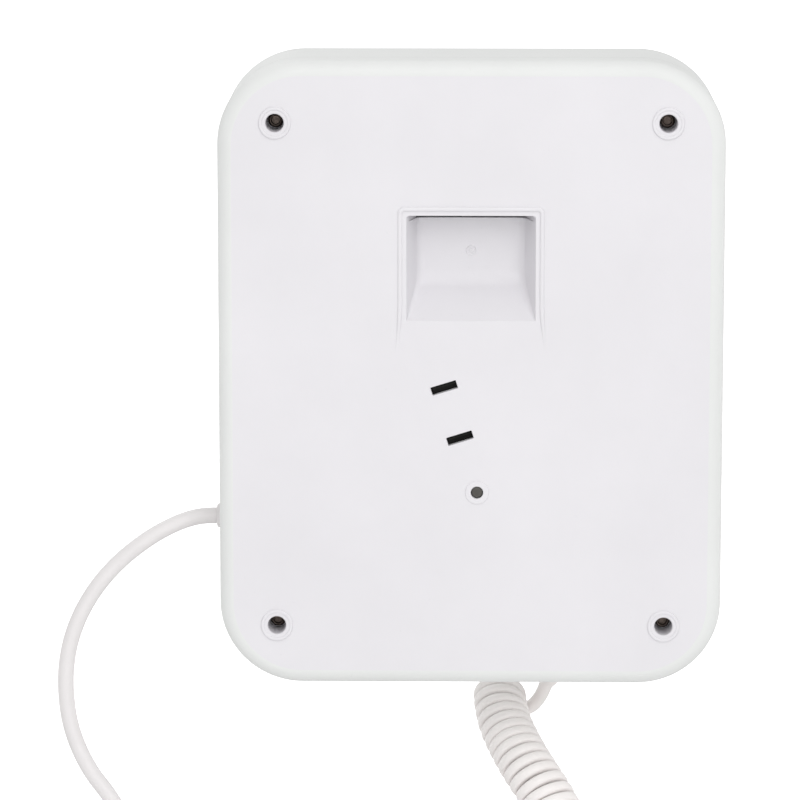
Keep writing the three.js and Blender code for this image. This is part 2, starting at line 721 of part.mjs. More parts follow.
function rearCover() {
  const whole = slab(caseOutline(), 0, CASE_DEPTH, REAR_EDGE_RADIUS);
  const outside = whole.intersect(depthBand(0, seamRear));
  const inside = slab(caseOutline(CASE_WALL), -CASE_WALL, CASE_DEPTH, REAR_EDGE_RADIUS - CASE_WALL);
  const lipOutside = CASE_WALL + SEAT_GAP;
  const lipInside = lipOutside + LIP_THICKNESS;
  const lipRoot = seamRear + LIP_ROOT;
  const lipRing = join(
    slab(caseOutline(CASE_WALL / 2), lipRoot, LIP_ROOT),
    slab(caseOutline(lipOutside), lipRoot, LIP_ROOT + LIP_HEIGHT),
  );
  const lipHollow = slab(caseOutline(lipInside), lipRoot + PAST, LIP_ROOT + LIP_HEIGHT + 2 * PAST);
  let cover = join(cut(outside, inside), cut(lipRing, lipHollow));

  const recess = hangRecess();
  cover = join(cover, recess.backing, recess.frame);
  for (const [x, z] of screwPlaces) {
    const ring = cut(
      rodY(x, z, WELL_RING_RADIUS, WELL_RING_HEIGHT, WELL_RING_HEIGHT + CASE_WALL / 2),
      rodY(x, z, WELL_STEP_RADIUS, WELL_RING_HEIGHT + PAST, PAST + WELL_RING_HEIGHT - WELL_STEP_HEIGHT),
    );
    const wellRoot = -CASE_WALL / 2;
    const well = rodY(x, z, WELL_BORE_RADIUS + WELL_WALL, wellRoot, wellRoot - wellEnd, POST_SIDES);
    cover = join(cover, ring, well);
  }
  const ringDepth = RINGER_RING_HEIGHT + PAST;
  const pegRing = rodY(0, -RINGER_PEG_DROP, RINGER_RING_RADIUS, RINGER_RING_HEIGHT, ringDepth);
  cover = join(cover, ringerPlace(pegRing));

  for (const [x, z] of screwPlaces) {
    cover = cut(
      cover,
      rodY(x, z, WELL_BORE_RADIUS, PAST, PAST + WELL_DEPTH),
      rodY(x, z, SCREW_SHANK_RADIUS + SEAT_GAP, wellFloor + PAST, WELL_WALL + 2 * PAST, BORE_SIDES),
    );
  }
  for (const rise of [0, RINGER_SLOT_SPACING]) {
    const half = RINGER_SLOT_WIDTH / 2;
    const slot = block(
      [-RINGER_SLOT_LENGTH / 2, PAST, rise - half],
      [RINGER_SLOT_LENGTH / 2, -CASE_WALL - PAST, rise + half],
    );
    cover = cut(cover, ringerPlace(slot));
  }
  const pegHole = rodY(0, -RINGER_PEG_DROP, RINGER_PEG_RADIUS + SEAT_GAP, PAST, CASE_WALL + 2 * PAST);
  return cut(cover, ringerPlace(pegHole), recess.hollow);
}

function keyFlangeWindow(border, front, rear) {
  return block(
    [keypadX - keypadWidth / 2 - border, front, -keypadHeight / 2 - border],
    [keypadX + keypadWidth / 2 + border, rear, keypadHeight / 2 + border],
  );
}

const boardPosts = [-1, 1].flatMap((x) =>
  [-1, 1].map((z) => [
    keypadX + x * (BOARD_WIDTH / 2 - BOARD_POST_INSET),
    BOARD_RISE + z * (BOARD_HEIGHT / 2 - BOARD_POST_INSET),
  ]),
);

const leverSlotLength = LEVER_TRAVEL + LEVER_WIDTH + 2 * SLIDE_GAP;

function frontShell() {
  const whole = slab(caseOutline(), 0, CASE_DEPTH, FRONT_EDGE_RADIUS);
  const outside = whole.intersect(depthBand(seamFront, caseFront));
  const inside = slab(
    caseOutline(CASE_WALL),
    CASE_WALL,
    CASE_DEPTH,
    FRONT_EDGE_RADIUS - CASE_WALL,
  );
  const bayLeft = handsetX - BAY_WIDTH / 2;
  const bayRight = handsetX + BAY_WIDTH / 2;
  const backing = block(
    [bayLeft - CASE_WALL, bayInner, caseBottom],
    [bayRight + CASE_WALL, frontInner - PAST, caseTop],
  ).intersect(outside);
  const bay = block([bayLeft, bayFloor, caseBottom - PAST], [bayRight, caseFront - PAST, caseTop + PAST]);
  let shell = join(cut(outside, inside), backing);

  for (const [x, z] of screwPlaces) {
    const start = wellEnd - SEAT_GAP;
    shell = join(shell, rodY(x, z, POST_RADIUS, start, start - frontInner + PAST, POST_SIDES));
  }
  for (const [x, z] of boardPosts) {
    const start = boardFront - SEAT_GAP;
    shell = join(shell, rodY(x, z, BOARD_POST_RADIUS, start, start - frontInner + PAST, BORE_SIDES));
  }
  shell = cut(shell, bay);
  for (const [x, z] of screwPlaces) {
    const start = wellEnd - SEAT_GAP;
    shell = cut(shell, rodY(x, z, SCREW_SHANK_RADIUS + SEAT_GAP, start + PAST, SCREW_LENGTH, BORE_SIDES));
  }

  const bezelRecess = slab(
    roundedRectangle(
      keypadWidth + 2 * (BEZEL_BORDER + SEAT_GAP),
      keypadHeight + 2 * (BEZEL_BORDER + SEAT_GAP),
      BEZEL_CORNER_RADIUS,
      keypadX,
      0,
    ),
    bezelRear + SEAT_GAP,
    CASE_WALL,
    0,
    3,
  );
  const keyWindow = keyFlangeWindow(SHELL_WINDOW_BORDER, frontInner + PAST, caseFront - PAST);
  const cardRecess = slab(
    roundedRectangle(
      CARD_WIDTH + 2 * (CARD_WINDOW_BORDER + SEAT_GAP),
      CARD_HEIGHT + 2 * (CARD_WINDOW_BORDER + SEAT_GAP),
      CARD_WINDOW_CORNER,
      keypadX,
      cardZ,
    ),
    caseFront + CARD_RECESS_DEPTH,
    CARD_RECESS_DEPTH + PAST,
    0,
    2,
  );
  shell = cut(shell, bezelRecess, keyWindow, cardRecess);
  for (let i = 0; i < LOUVRE_COUNT; i++) {
    const z = -LOUVRE_DROP + (i - (LOUVRE_COUNT - 1) / 2) * LOUVRE_PITCH;
    const opening = roundedRectangle(LOUVRE_LENGTH, LOUVRE_WIDTH, LOUVRE_WIDTH / 2, keypadX, z);
    shell = cut(shell, slab(opening, frontInner + PAST, CASE_WALL + 2 * PAST, 0, 2));
  }
  const hookSlot = block(
    [handsetX - ARM_WIDTH / 2 - SLIDE_GAP, bayInner + PAST, armBottom - SLIDE_GAP],
    [handsetX + ARM_WIDTH / 2 + SLIDE_GAP, bayFloor - PAST, armTop + HOOK_SLOT_RISE],
  );
  const glandHole = rodX(
    caseSide + PAST,
    caseSide - CASE_WALL - PAST,
    -GLAND_BACK,
    glandZ,
    GLAND_BODY_RADIUS + SEAT_GAP,
  );
  const curlyHole = rodZ(
    CURLY_OUTLET_X,
    -CURLY_OUTLET_BACK,
    caseBottom - PAST,
    caseBottom + CASE_WALL + PAST,
    CURLY_WIRE_DIAMETER / 2 + SEAT_GAP,
  );
  const leverSlot = block(
    [LEVER_X - LEVER_WIDTH / 2 - SLIDE_GAP, -LEVER_BACK - LEVER_DEPTH / 2 - SLIDE_GAP, caseBottom - PAST],
    [
      LEVER_X - LEVER_WIDTH / 2 - SLIDE_GAP + leverSlotLength,
      -LEVER_BACK + LEVER_DEPTH / 2 + SLIDE_GAP,
      caseBottom + CASE_WALL + PAST,
    ],
  );
  return cut(shell, hookSlot, glandHole, curlyHole, leverSlot);
}

// A screw with its head at the origin's rear side and its shank towards the front.
function screw(headRadius, headHeight, shankRadius, length) {
  const body = turnedY(
    [
      [0, -length],
      [shankRadius, -length + shankRadius],
      [shankRadius, 0],
      [headRadius, 0],
      [headRadius - SCREW_HEAD_TAPER, headHeight],
      [0, headHeight],
    ],
    POST_SIDES,
  );
  const arm = SCREW_CROSS_ARM;
  const half = SCREW_CROSS_WIDTH / 2;
  const deep = headHeight - SCREW_CROSS_DEPTH;
  return cut(
    body,
    block([-arm, headHeight + PAST, -half], [arm, deep, half]),
    block([-half, headHeight + PAST, -arm], [half, deep, arm]),
  );
}

const phone = new THREE.Group();
const base = new THREE.Group();
phone.add(base);

addPiece(base, "rear_cover", rearCover(), whiteShell);
addPiece(base, "front_shell", frontShell(), whiteShell);
const caseScrew = geometryOf(screw(SCREW_HEAD_RADIUS, SCREW_HEAD_HEIGHT, SCREW_SHANK_RADIUS, SCREW_LENGTH));
screwPlaces.forEach(([x, z], i) => {
  addPiece(base, "case_screw_" + (i + 1), caseScrew, darkScrew, [x, wellFloor + SEAT_GAP, z]);
});

// ---------------------------------------------------------------- ringer

const ringer = new THREE.Group();
ringer.position.set(RINGER_X, 0, RINGER_Z);
ringer.rotation.y = RINGER_TILT;
base.add(ringer);

const frameRear = -CASE_WALL - SEAT_GAP;
const frameFront = frameRear - RINGER_FRAME_THICKNESS;
const gongRim = frameFront - GONG_STAND_OFF;
const gongTop = gongRim - GONG_DEPTH;
const postEnd = gongTop + GONG_WALL + SEAT_GAP;
const coilZ = RINGER_FRAME_TOP - RINGER_COIL_DROP;
const armatureRear = frameFront - RINGER_COIL_LENGTH - 2 * SEAT_GAP;

function ringerFrame() {
  const plate = block(
    [-RINGER_FRAME_WIDTH / 2, frameRear, -GONG_DROP],
    [RINGER_FRAME_WIDTH / 2, frameFront, RINGER_FRAME_TOP],
  );
  const crossbar = block(
    [-GONG_SPACING / 2 - CROSSBAR_HEIGHT / 2, frameRear, -GONG_DROP - CROSSBAR_HEIGHT / 2],
    [GONG_SPACING / 2 + CROSSBAR_HEIGHT / 2, frameFront, -GONG_DROP + CROSSBAR_HEIGHT / 2],
  );
  const tabs = [0, RINGER_SLOT_SPACING].map((rise) =>
    block(
      [SEAT_GAP - RINGER_SLOT_LENGTH / 2, RINGER_TAB_DEPTH - CASE_WALL, rise + SEAT_GAP / 2],
      [RINGER_SLOT_LENGTH / 2 - SEAT_GAP, frameFront, rise + RINGER_SLOT_WIDTH / 2 - SEAT_GAP],
    ),
  );
  const pegLength = -frameFront - RINGER_PEG_SUNK;
  const peg = rodY(0, -RINGER_PEG_DROP, RINGER_PEG_RADIUS, -RINGER_PEG_SUNK, pegLength, POST_SIDES);
  const posts = [-1, 1].map((side) =>
    rodY((side * GONG_SPACING) / 2, -GONG_DROP, GONG_POST_RADIUS, frameRear, frameRear - postEnd, POST_SIDES),
  );
  const core = rodY(0, coilZ, RINGER_CORE_RADIUS, frameRear, frameRear - armatureRear - SEAT_GAP, POST_SIDES);
  const hinges = [-1, 1].map((side) =>
    block(
      [(side * ARMATURE_WIDTH) / 2, frameRear, CLAPPER_PIVOT_RISE - ARMATURE_HEIGHT / 2],
      [
        side * (ARMATURE_WIDTH / 2 - ARMATURE_POST),
        armatureRear + SEAT_GAP,
        CLAPPER_PIVOT_RISE + ARMATURE_HEIGHT / 2,
      ],
    ),
  );
  return join(plate, crossbar, ...tabs, peg, ...posts, core, ...hinges);
}

function ringerCoil() {
  const bore = RINGER_CORE_RADIUS + SEAT_GAP;
  const flange = RINGER_COIL_FLANGE;
  const winding = RINGER_COIL_RADIUS - RINGER_COIL_GROOVE;
  const rear = frameFront - SEAT_GAP;
  const front = frameFront - RINGER_COIL_LENGTH + SEAT_GAP;
  return turnedY(
    [
      [bore, front],
      [RINGER_COIL_RADIUS, front],
      [RINGER_COIL_RADIUS, front + flange],
      [winding, front + flange],
      [winding, rear - flange],
      [RINGER_COIL_RADIUS, rear - flange],
      [RINGER_COIL_RADIUS, rear],
      [bore, rear],
      [bore, front],
    ],
    GONG_SIDES,
  );
}

function ringerClapper() {
  const front = armatureRear - ARMATURE_THICKNESS;
  const armature = block(
    [-ARMATURE_WIDTH / 2, armatureRear, CLAPPER_PIVOT_RISE - ARMATURE_HEIGHT / 2],
    [ARMATURE_WIDTH / 2, front, coilZ + RINGER_CORE_RADIUS],
  );
  const middle = (armatureRear + front) / 2;
  const rod = rodZ(0, middle, CLAPPER_PIVOT_RISE, -GONG_DROP, CLAPPER_ROD_RADIUS, BORE_SIDES);
  const hammerRear = gongRim - HAMMER_OVERLAP;
  const hammer = rodY(0, -GONG_DROP, HAMMER_RADIUS, hammerRear, hammerRear - front, POST_SIDES);
  return join(armature, rod, hammer);
}

function gong() {
  const outline = [
    [GONG_CROWN, -GONG_DEPTH],
    [GONG_SHOULDER, -GONG_SHOULDER_DEPTH],
    [GONG_FLANK, -GONG_FLANK_DEPTH],
    [GONG_RADIUS, 0],
  ];
  const inside = outline.map(([radius, height]) => [radius - GONG_WALL, Math.min(height + GONG_WALL, 0)]);
  return turnedY(
    [
      [GONG_HOLE_RADIUS, -GONG_DEPTH],
      ...outline,
      ...inside.reverse(),
      [GONG_HOLE_RADIUS, -GONG_DEPTH + GONG_WALL],
      [GONG_HOLE_RADIUS, -GONG_DEPTH],
    ],
    GONG_SIDES,
  );
}

function gongScrewHead() {
  const slotHalf = GONG_SCREW_SLOT_WIDTH / 2;
  const slot = block(
    [-GONG_SCREW_HEAD_RADIUS - PAST, GONG_SCREW_SLOT_DEPTH - GONG_SCREW_HEAD_HEIGHT, -slotHalf],
    [GONG_SCREW_HEAD_RADIUS + PAST, -GONG_SCREW_HEAD_HEIGHT - PAST, slotHalf],
  );
  return cut(rodY(0, 0, GONG_SCREW_HEAD_RADIUS, 0, GONG_SCREW_HEAD_HEIGHT, POST_SIDES), slot);
}

addPiece(ringer, "ringer_frame", ringerFrame(), steel);
addPiece(ringer, "ringer_coil", ringerCoil(), copper, [0, 0, coilZ]);
addPiece(ringer, "ringer_clapper", ringerClapper(), steel);
const gongScrew = geometryOf(gongScrewHead());
for (const [side, sign] of [
  ["left", -1],
  ["right", 1],
]) {
  const x = (sign * GONG_SPACING) / 2;
  addPiece(ringer, "gong_" + side, gong(), brass, [x, gongRim, -GONG_DROP]);
  addPiece(ringer, "gong_screw_" + side, gongScrew, steel, [x, gongTop - SEAT_GAP, -GONG_DROP]);
}

const leverFlangeBottom = caseBottom + CASE_WALL + SEAT_GAP;
const ringerLever = join(
  block(
    [-LEVER_WIDTH / 2, -LEVER_DEPTH / 2, caseBottom - LEVER_STAND],
    [LEVER_WIDTH / 2, LEVER_DEPTH / 2, leverFlangeBottom + LEVER_FLANGE_HEIGHT],
  ),
  block(
    [-LEVER_WIDTH / 2 - LEVER_FLANGE, -LEVER_DEPTH / 2 - LEVER_FLANGE, leverFlangeBottom],
    [
      LEVER_WIDTH / 2 + LEVER_FLANGE,
      LEVER_DEPTH / 2 + LEVER_FLANGE,
      leverFlangeBottom + LEVER_FLANGE_HEIGHT,
    ],
  ),
);
addPiece(base, "ringer_lever", ringerLever, greyKey, [LEVER_X, -LEVER_BACK, 0]);

// ---------------------------------------------------------------- keypad, board and index card

const keyGroup = new THREE.Group();
keyGroup.position.set(keypadX, 0, 0);
base.add(keyGroup);

function key() {
  const cap = slab(
    roundedRectangle(KEY_WIDTH, KEY_HEIGHT, KEY_CORNER_RADIUS),
    flangeFront + KEY_ROOT,
    flangeFront + KEY_ROOT - keyFront,
    KEY_EDGE_RADIUS,
    1,
    1,
  );
  const flange = block(
    [-KEY_WIDTH / 2 - KEY_FLANGE, flangeRear, -KEY_HEIGHT / 2 - KEY_FLANGE],
    [KEY_WIDTH / 2 + KEY_FLANGE, flangeFront, KEY_HEIGHT / 2 + KEY_FLANGE],
  );
  const stem = block(
    [-KEY_STEM_WIDTH / 2, stemEnd, -KEY_STEM_WIDTH / 2],
    [KEY_STEM_WIDTH / 2, flangeFront, KEY_STEM_WIDTH / 2],
  );
  return join(cap, flange, stem);
}

const keyNames = ["1", "2", "3", "4", "5", "6", "7", "8", "9", "star", "0", "hash"];
const keyPlaces = keyNames.map((name, i) => [
  ((i % KEY_COLUMNS) - (KEY_COLUMNS - 1) / 2) * KEY_PITCH_X,
  ((KEY_ROWS - 1) / 2 - Math.floor(i / KEY_COLUMNS)) * KEY_PITCH_Z,
]);

function keypadBezel() {
  const plate = slab(
    roundedRectangle(keypadWidth + 2 * BEZEL_BORDER, keypadHeight + 2 * BEZEL_BORDER, BEZEL_CORNER_RADIUS),
    bezelRear,
    BEZEL_THICKNESS,
    0,
    3,
  );
  return keyPlaces.reduce((whole, [x, z]) => {
    const halfWidth = KEY_WIDTH / 2 + SLIDE_GAP;
    const halfHeight = KEY_HEIGHT / 2 + SLIDE_GAP;
    const window = block(
      [x - halfWidth, bezelRear + PAST, z - halfHeight],
      [x + halfWidth, bezelFront - PAST, z + halfHeight],
    );
    return cut(whole, window);
  }, plate);
}

function keypadMat() {
  const border = SHELL_WINDOW_BORDER;
  const sheet = block(
    [-keypadWidth / 2 - border, matRear, -keypadHeight / 2 - border],
    [keypadWidth / 2 + border, matFront, keypadHeight / 2 + border],
  );
  const domes = keyPlaces.map(([x, z]) => rodY(x, z, DOME_RADIUS, matRear, matRear - domeTop, COARSE_SIDES));
  return join(sheet, ...domes);
}

const boardRear = boardFront + BOARD_THICKNESS;

// What stands on the board's rear: a box of width, depth and height whose upper middle is at x and top.
function boardPart([width, depth, height], x, top) {
  return block([x - width / 2, boardRear + depth, top - height], [x + width / 2, boardRear - ROOT, top]);
}

function mainBoard() {
  const top = BOARD_RISE + BOARD_HEIGHT / 2;
  const bottom = BOARD_RISE - BOARD_HEIGHT / 2;
  const board = block([-BOARD_WIDTH / 2, boardRear, bottom], [BOARD_WIDTH / 2, boardFront, top]);
  const capacitor = rodY(
    0,
    top - PART_BORDER - CAPACITOR_RADIUS,
    CAPACITOR_RADIUS,
    boardRear + CAPACITOR_LENGTH,
    CAPACITOR_LENGTH + ROOT,
    POST_SIDES,
  );
  return join(
    board,
    boardPart(TRANSFORMER, -PART_SPACING, top - PART_BORDER),
    capacitor,
    boardPart(CHIP, PART_SPACING, top - PART_BORDER),
    boardPart(SOCKET, -PART_SPACING, bottom + PART_BORDER + SOCKET[2]),
  );
}

const keyGeometry = geometryOf(key());
keyNames.forEach((name, i) => {
  const [x, z] = keyPlaces[i];
  addPiece(keyGroup, "key_" + name, keyGeometry, greyKey, [x, 0, z]);
});
addPiece(keyGroup, "keypad_bezel", keypadBezel(), greyBezel);
addPiece(keyGroup, "keypad_mat", keypadMat(), rubber);
addPiece(keyGroup, "main_board", mainBoard(), boardGreen);

const cardRear = caseFront + CARD_RECESS_DEPTH - SEAT_GAP;
const windowRear = cardRear - CARD_THICKNESS - SEAT_GAP;
addPiece(
  keyGroup,
  "index_card",
  slab(roundedRectangle(CARD_WIDTH, CARD_HEIGHT, CARD_CORNER), cardRear, CARD_THICKNESS, 0, 1),
  paper,
  [0, 0, cardZ],
);
addPiece(
  keyGroup,
  "index_card_window",
  slab(
    roundedRectangle(
      CARD_WIDTH + 2 * CARD_WINDOW_BORDER,
      CARD_HEIGHT + 2 * CARD_WINDOW_BORDER,
      CARD_WINDOW_CORNER,
    ),
    windowRear,
    CARD_WINDOW_THICKNESS,
    0,
    2,
  ),
  clearPlastic,
  [0, 0, cardZ],
);

// ---------------------------------------------------------------- hook

const hook = new THREE.Group();
hook.position.set(handsetX, 0, 0);
base.add(hook);

const yokeRear = yokeMiddle + YOKE_THICKNESS / 2;
const yokeFront = yokeMiddle - YOKE_THICKNESS / 2;
const hubEnd = -ARM_WIDTH / 2 + HOOK_HUB_LENGTH;
const pinHoleRadius = HOOK_PIN_RADIUS + SEAT_GAP;
const earInside = ARM_WIDTH / 2 + EAR_PLATE_GAP;
const earOutside = earInside + EAR_PLATE_THICKNESS;
const armNarrow = pivotY - HOOK_HUB_RADIUS - ARM_ROOT;

function hookLever() {
  const hub = rodX(-ARM_WIDTH / 2, hubEnd, pivotY, pivotZ, HOOK_HUB_RADIUS, POST_SIDES);
  const root = block([-ARM_WIDTH / 2, pivotY + ROOT, armBottom], [hubEnd, armNarrow - ROOT, armTop]);
  const arm = block([-ARM_WIDTH / 2, armNarrow, armBottom], [ARM_WIDTH / 2, yokeFront, armTop]);
  const yokeHeight = YOKE_BELOW_NECK + YOKE_PRONG_RISE;
  const plate = slab(
    roundedRectangle(YOKE_WIDTH, yokeHeight, YOKE_CORNER, 0, armBottom + yokeHeight / 2),
    yokeRear,
    YOKE_THICKNESS,
    YOKE_EDGE,
    2,
    1,
  );
  const roomRadius = EAR_NECK_RADIUS + YOKE_GAP;
  const neckRoom = rodY(0, earZ, roomRadius, yokeRear + PAST, YOKE_THICKNESS + 2 * PAST, CAP_SIDES);
  const tail = block(
    [-ARM_WIDTH / 2, pivotY + HOOK_TAIL_THICKNESS / 2, pivotZ],
    [-ARM_WIDTH / 2 + HOOK_TAIL_WIDTH, pivotY - HOOK_TAIL_THICKNESS / 2, pivotZ + HOOK_TAIL_HEIGHT],
  );
  const bore = rodX(-ARM_WIDTH, ARM_WIDTH, pivotY, pivotZ, pinHoleRadius, POST_SIDES);
  return cut(join(hub, root, arm, cut(plate, neckRoom), tail), bore);
}

const bracketFront = bayInner + SEAT_GAP;
const bracketRear = bracketFront + BRACKET_PLATE;
const shelfBottom = pivotZ + HOOK_TAIL_HEIGHT + SHELF_ABOVE_TAIL;
const switchFront = pivotY + HOOK_TAIL_THICKNESS / 2 + SWITCH_GAP;
const switchRear = switchFront + SWITCH_DEPTH;

function hookBracket() {
  const plate = block(
    [-earOutside - BRACKET_BORDER, bracketRear, pivotZ - BRACKET_BELOW_PIN],
    [earOutside + BRACKET_BORDER, bracketFront, shelfBottom + BRACKET_PLATE],
  );
  const ears = [-1, 1].map((side) =>
    block(
      [side * earInside, pivotY + EAR_PLATE_BEHIND_PIN, pivotZ - EAR_PLATE_HALF_HEIGHT],
      [side * earOutside, bracketFront, pivotZ + EAR_PLATE_HALF_HEIGHT],
    ),
  );
  const shelf = block(
    [-earInside, switchRear, shelfBottom],
    [-earInside + SHELF_LENGTH, bracketFront, shelfBottom + BRACKET_PLATE],
  );
  const window = block(
    [-earInside + SEAT_GAP, bracketRear + PAST, armBottom - BRACKET_WINDOW_BORDER],
    [earInside - SEAT_GAP, bracketFront - PAST, armTop + HOOK_SLOT_RISE + BRACKET_WINDOW_BORDER],
  );
  const pinHoles = rodX(-earOutside - PAST, earOutside + PAST, pivotY, pivotZ, pinHoleRadius, POST_SIDES);
  return cut(join(cut(plate, window), ...ears, shelf), pinHoles);
}

function hookSpring() {
  const coilRadius = pinHoleRadius + HOOK_SPRING_WIRE_RADIUS;
  const centres = [];
  for (let i = 0; i <= HOOK_SPRING_TURNS * STEPS_PER_CURL; i++) {
    const angle = (2 * Math.PI * i) / STEPS_PER_CURL;
    centres.push(
      new THREE.Vector3(
        hubEnd + SEAT_GAP + HOOK_SPRING_WIRE_RADIUS + (HOOK_SPRING_PITCH * i) / STEPS_PER_CURL,
        pivotY + coilRadius * Math.cos(angle),
        pivotZ + coilRadius * Math.sin(angle),
      ),
    );
  }
  return tubeThrough(centres, HOOK_SPRING_WIRE_RADIUS, CURLY_SIDES);
}

addPiece(hook, "hook_lever", hookLever(), steel);
addPiece(hook, "hook_bracket", hookBracket(), steel);
const pinEnd = earOutside + PIN_OVERHANG;
addPiece(hook, "hook_pin", rodX(-pinEnd, pinEnd, pivotY, pivotZ, HOOK_PIN_RADIUS, POST_SIDES), steel);
addPiece(hook, "hook_spring", hookSpring(), steel);
const switchLeft = -ARM_WIDTH / 2 - SWITCH_OVERHANG;
addPiece(
  hook,
  "hook_switch",
  block(
    [switchLeft, switchRear, shelfBottom - SEAT_GAP - SWITCH_HEIGHT],
    [switchLeft + SWITCH_WIDTH, switchFront, shelfBottom - SEAT_GAP],
  ),
  blackPlastic,
);

// ---------------------------------------------------------------- handset

const handset = new THREE.Group();
handset.position.set(handsetX, 0, 0);
phone.add(handset);

function handsetOutline(inset = 0) {
  const half = HANDSET_WIDTH / 2 - inset;
  const waist = HANDSET_WAIST / 2 - inset;
  const radius = HANDSET_END_RADIUS - inset;
  const sideTop = handsetTop - HANDSET_END_RADIUS;
  const sideBottom = handsetBottom + HANDSET_END_RADIUS;
  const reach = HANDSET_SWEEP;
  const shape = new THREE.Shape();
  shape.absarc(half - radius, sideTop, radius, 0, Math.PI / 2);
  shape.absarc(radius - half, sideTop, radius, Math.PI / 2, Math.PI);
  shape.bezierCurveTo(-half, sideTop - reach / 2, -waist, handsetZ + reach, -waist, handsetZ);
  shape.bezierCurveTo(-waist, handsetZ - reach, -half, sideBottom + reach / 2, -half, sideBottom);
  shape.absarc(radius - half, sideBottom, radius, Math.PI, 1.5 * Math.PI);
  shape.absarc(half - radius, sideBottom, radius, 1.5 * Math.PI, 2 * Math.PI);
  shape.bezierCurveTo(half, sideBottom + reach / 2, waist, handsetZ - reach, waist, handsetZ);
  shape.bezierCurveTo(waist, handsetZ + reach, half, sideTop - reach / 2, half, sideTop);
  return shape;
}

const bootDirection = new THREE.Vector3(Math.sin(BOOT_LEAN), 0, -Math.cos(BOOT_LEAN));
const bootRoot = new THREE.Vector3(BOOT_OFFSET_X, handsetSeam, handsetBottom + BOOT_ROOT_RISE);

// A profile of [radius, distance] points turned about the boot's axis, from its root outwards.
function alongBoot(profile, sides) {
  const points = profile.map(([radius, along]) => new THREE.Vector2(radius, along));
  const geometry = new THREE.LatheGeometry(points, sides);
  const turn = new THREE.Quaternion().setFromUnitVectors(new THREE.Vector3(0, 1, 0), bootDirection);
  geometry.applyQuaternion(turn);
  geometry.translate(bootRoot.x, bootRoot.y, bootRoot.z);
  return solidOf(geometry);
}

const bootHole = alongBoot(
  [
    [0, -BOOT_INSIDE],
    [BOOT_ROOT_RADIUS + SEAT_GAP, -BOOT_INSIDE],
    [BOOT_ROOT_RADIUS + SEAT_GAP, BOOT_LENGTH],
    [0, BOOT_LENGTH],
  ],
  POST_SIDES,
);

const handsetMiddle = (rearY, frontY) =>
  block([-HANDSET_WIDTH, rearY, handsetBottom - PAST], [HANDSET_WIDTH, frontY, handsetTop + PAST]);
const handsetHollow = slab(
  handsetOutline(HANDSET_WALL),
  handsetRear - HANDSET_WALL,
  HANDSET_THICKNESS - 2 * HANDSET_WALL,
  HANDSET_INNER_EDGE,
  ARC_STEPS,
  1,
);
const handsetScrewPlaces = [handsetTop - HANDSET_SCREW_INSET, handsetBottom + HANDSET_SCREW_INSET];
const handsetPostRear = handsetRear - HANDSET_COUNTERBORE - 2 * HANDSET_WALL;

function handsetInnerShell() {
  const outside = slab(handsetOutline(), handsetRear, HANDSET_THICKNESS, HANDSET_BACK_EDGE).intersect(
    handsetMiddle(handsetRear, handsetSeam + SEAT_GAP / 2),
  );
  let shell = cut(outside, handsetHollow);
  for (const [radius, z] of [
    [EAR_NECK_RADIUS, earZ],
    [MOUTH_NECK_RADIUS, mouthZ],
  ]) {
    const rear = capBack - SEAT_GAP;
    const length = rear - handsetRear;
    shell = join(shell, rodY(0, z, radius, rear, length + HANDSET_WALL / 2, CAP_SIDES));
    shell = cut(shell, rodY(0, z, radius - NECK_WALL, rear + PAST, length + HANDSET_WALL + 2 * PAST));
  }
  for (const z of handsetScrewPlaces) {
    const sleeve = HANDSET_COUNTERBORE + HANDSET_WALL;
    const length = sleeve + HANDSET_WALL - SEAT_GAP;
    shell = join(shell, rodY(0, z, HANDSET_POST_RADIUS, handsetRear, length, POST_SIDES));
    shell = cut(
      shell,
      rodY(0, z, SCREW_HEAD_RADIUS + SEAT_GAP, handsetRear + PAST, HANDSET_COUNTERBORE + PAST, POST_SIDES),
      rodY(0, z, SCREW_SHANK_RADIUS + SEAT_GAP, handsetRear, sleeve + HANDSET_WALL + PAST, BORE_SIDES),
    );
  }
  return cut(shell, bootHole);
}

function handsetOuterShell() {
  const outside = slab(handsetOutline(), handsetRear, HANDSET_THICKNESS, HANDSET_FRONT_EDGE).intersect(
    handsetMiddle(handsetSeam - SEAT_GAP / 2, handsetFront),
  );
  let shell = cut(outside, handsetHollow);
  for (const z of handsetScrewPlaces) {
    const length = handsetPostRear - handsetFront - HANDSET_WALL / 2;
    const bore = SCREW_SHANK_RADIUS + SEAT_GAP;
    shell = join(shell, rodY(0, z, HANDSET_POST_RADIUS, handsetPostRear, length, POST_SIDES));
    shell = cut(shell, rodY(0, z, bore, handsetPostRear + PAST, HANDSET_SCREW_LENGTH, BORE_SIDES));
  }
  return cut(shell, bootHole);
}

// A cap with a hollow towards the handset and a ring of holes.
function handsetCap(radius, z) {
  const edge = CAP_EDGE;
  const cap = turnedY(
    [
      [0, capBack],
      [radius, capBack],
      [radius, capFace - edge],
      [radius - edge, capFace],
      [0, capFace - CAP_DISH],
    ],
    CAP_SIDES,
  ).translate([0, 0, z]);
  const hollow = rodY(0, z, radius - CAP_WALL, capFace - CAP_FACE, CAP_THICKNESS);
  const hole = (x, up) =>
    rodY(x, z + up, CAP_HOLE_RADIUS, capFace + PAST, CAP_THICKNESS + 2 * PAST, COARSE_SIDES);
  const holes = [hole(0, 0)];
  for (let i = 0; i < CAP_HOLES; i++) {
    const angle = (2 * Math.PI * i) / CAP_HOLES;
    holes.push(hole(CAP_HOLE_CIRCLE * Math.cos(angle), CAP_HOLE_CIRCLE * Math.sin(angle)));
  }
  return cut(cap, hollow, ...holes);
}

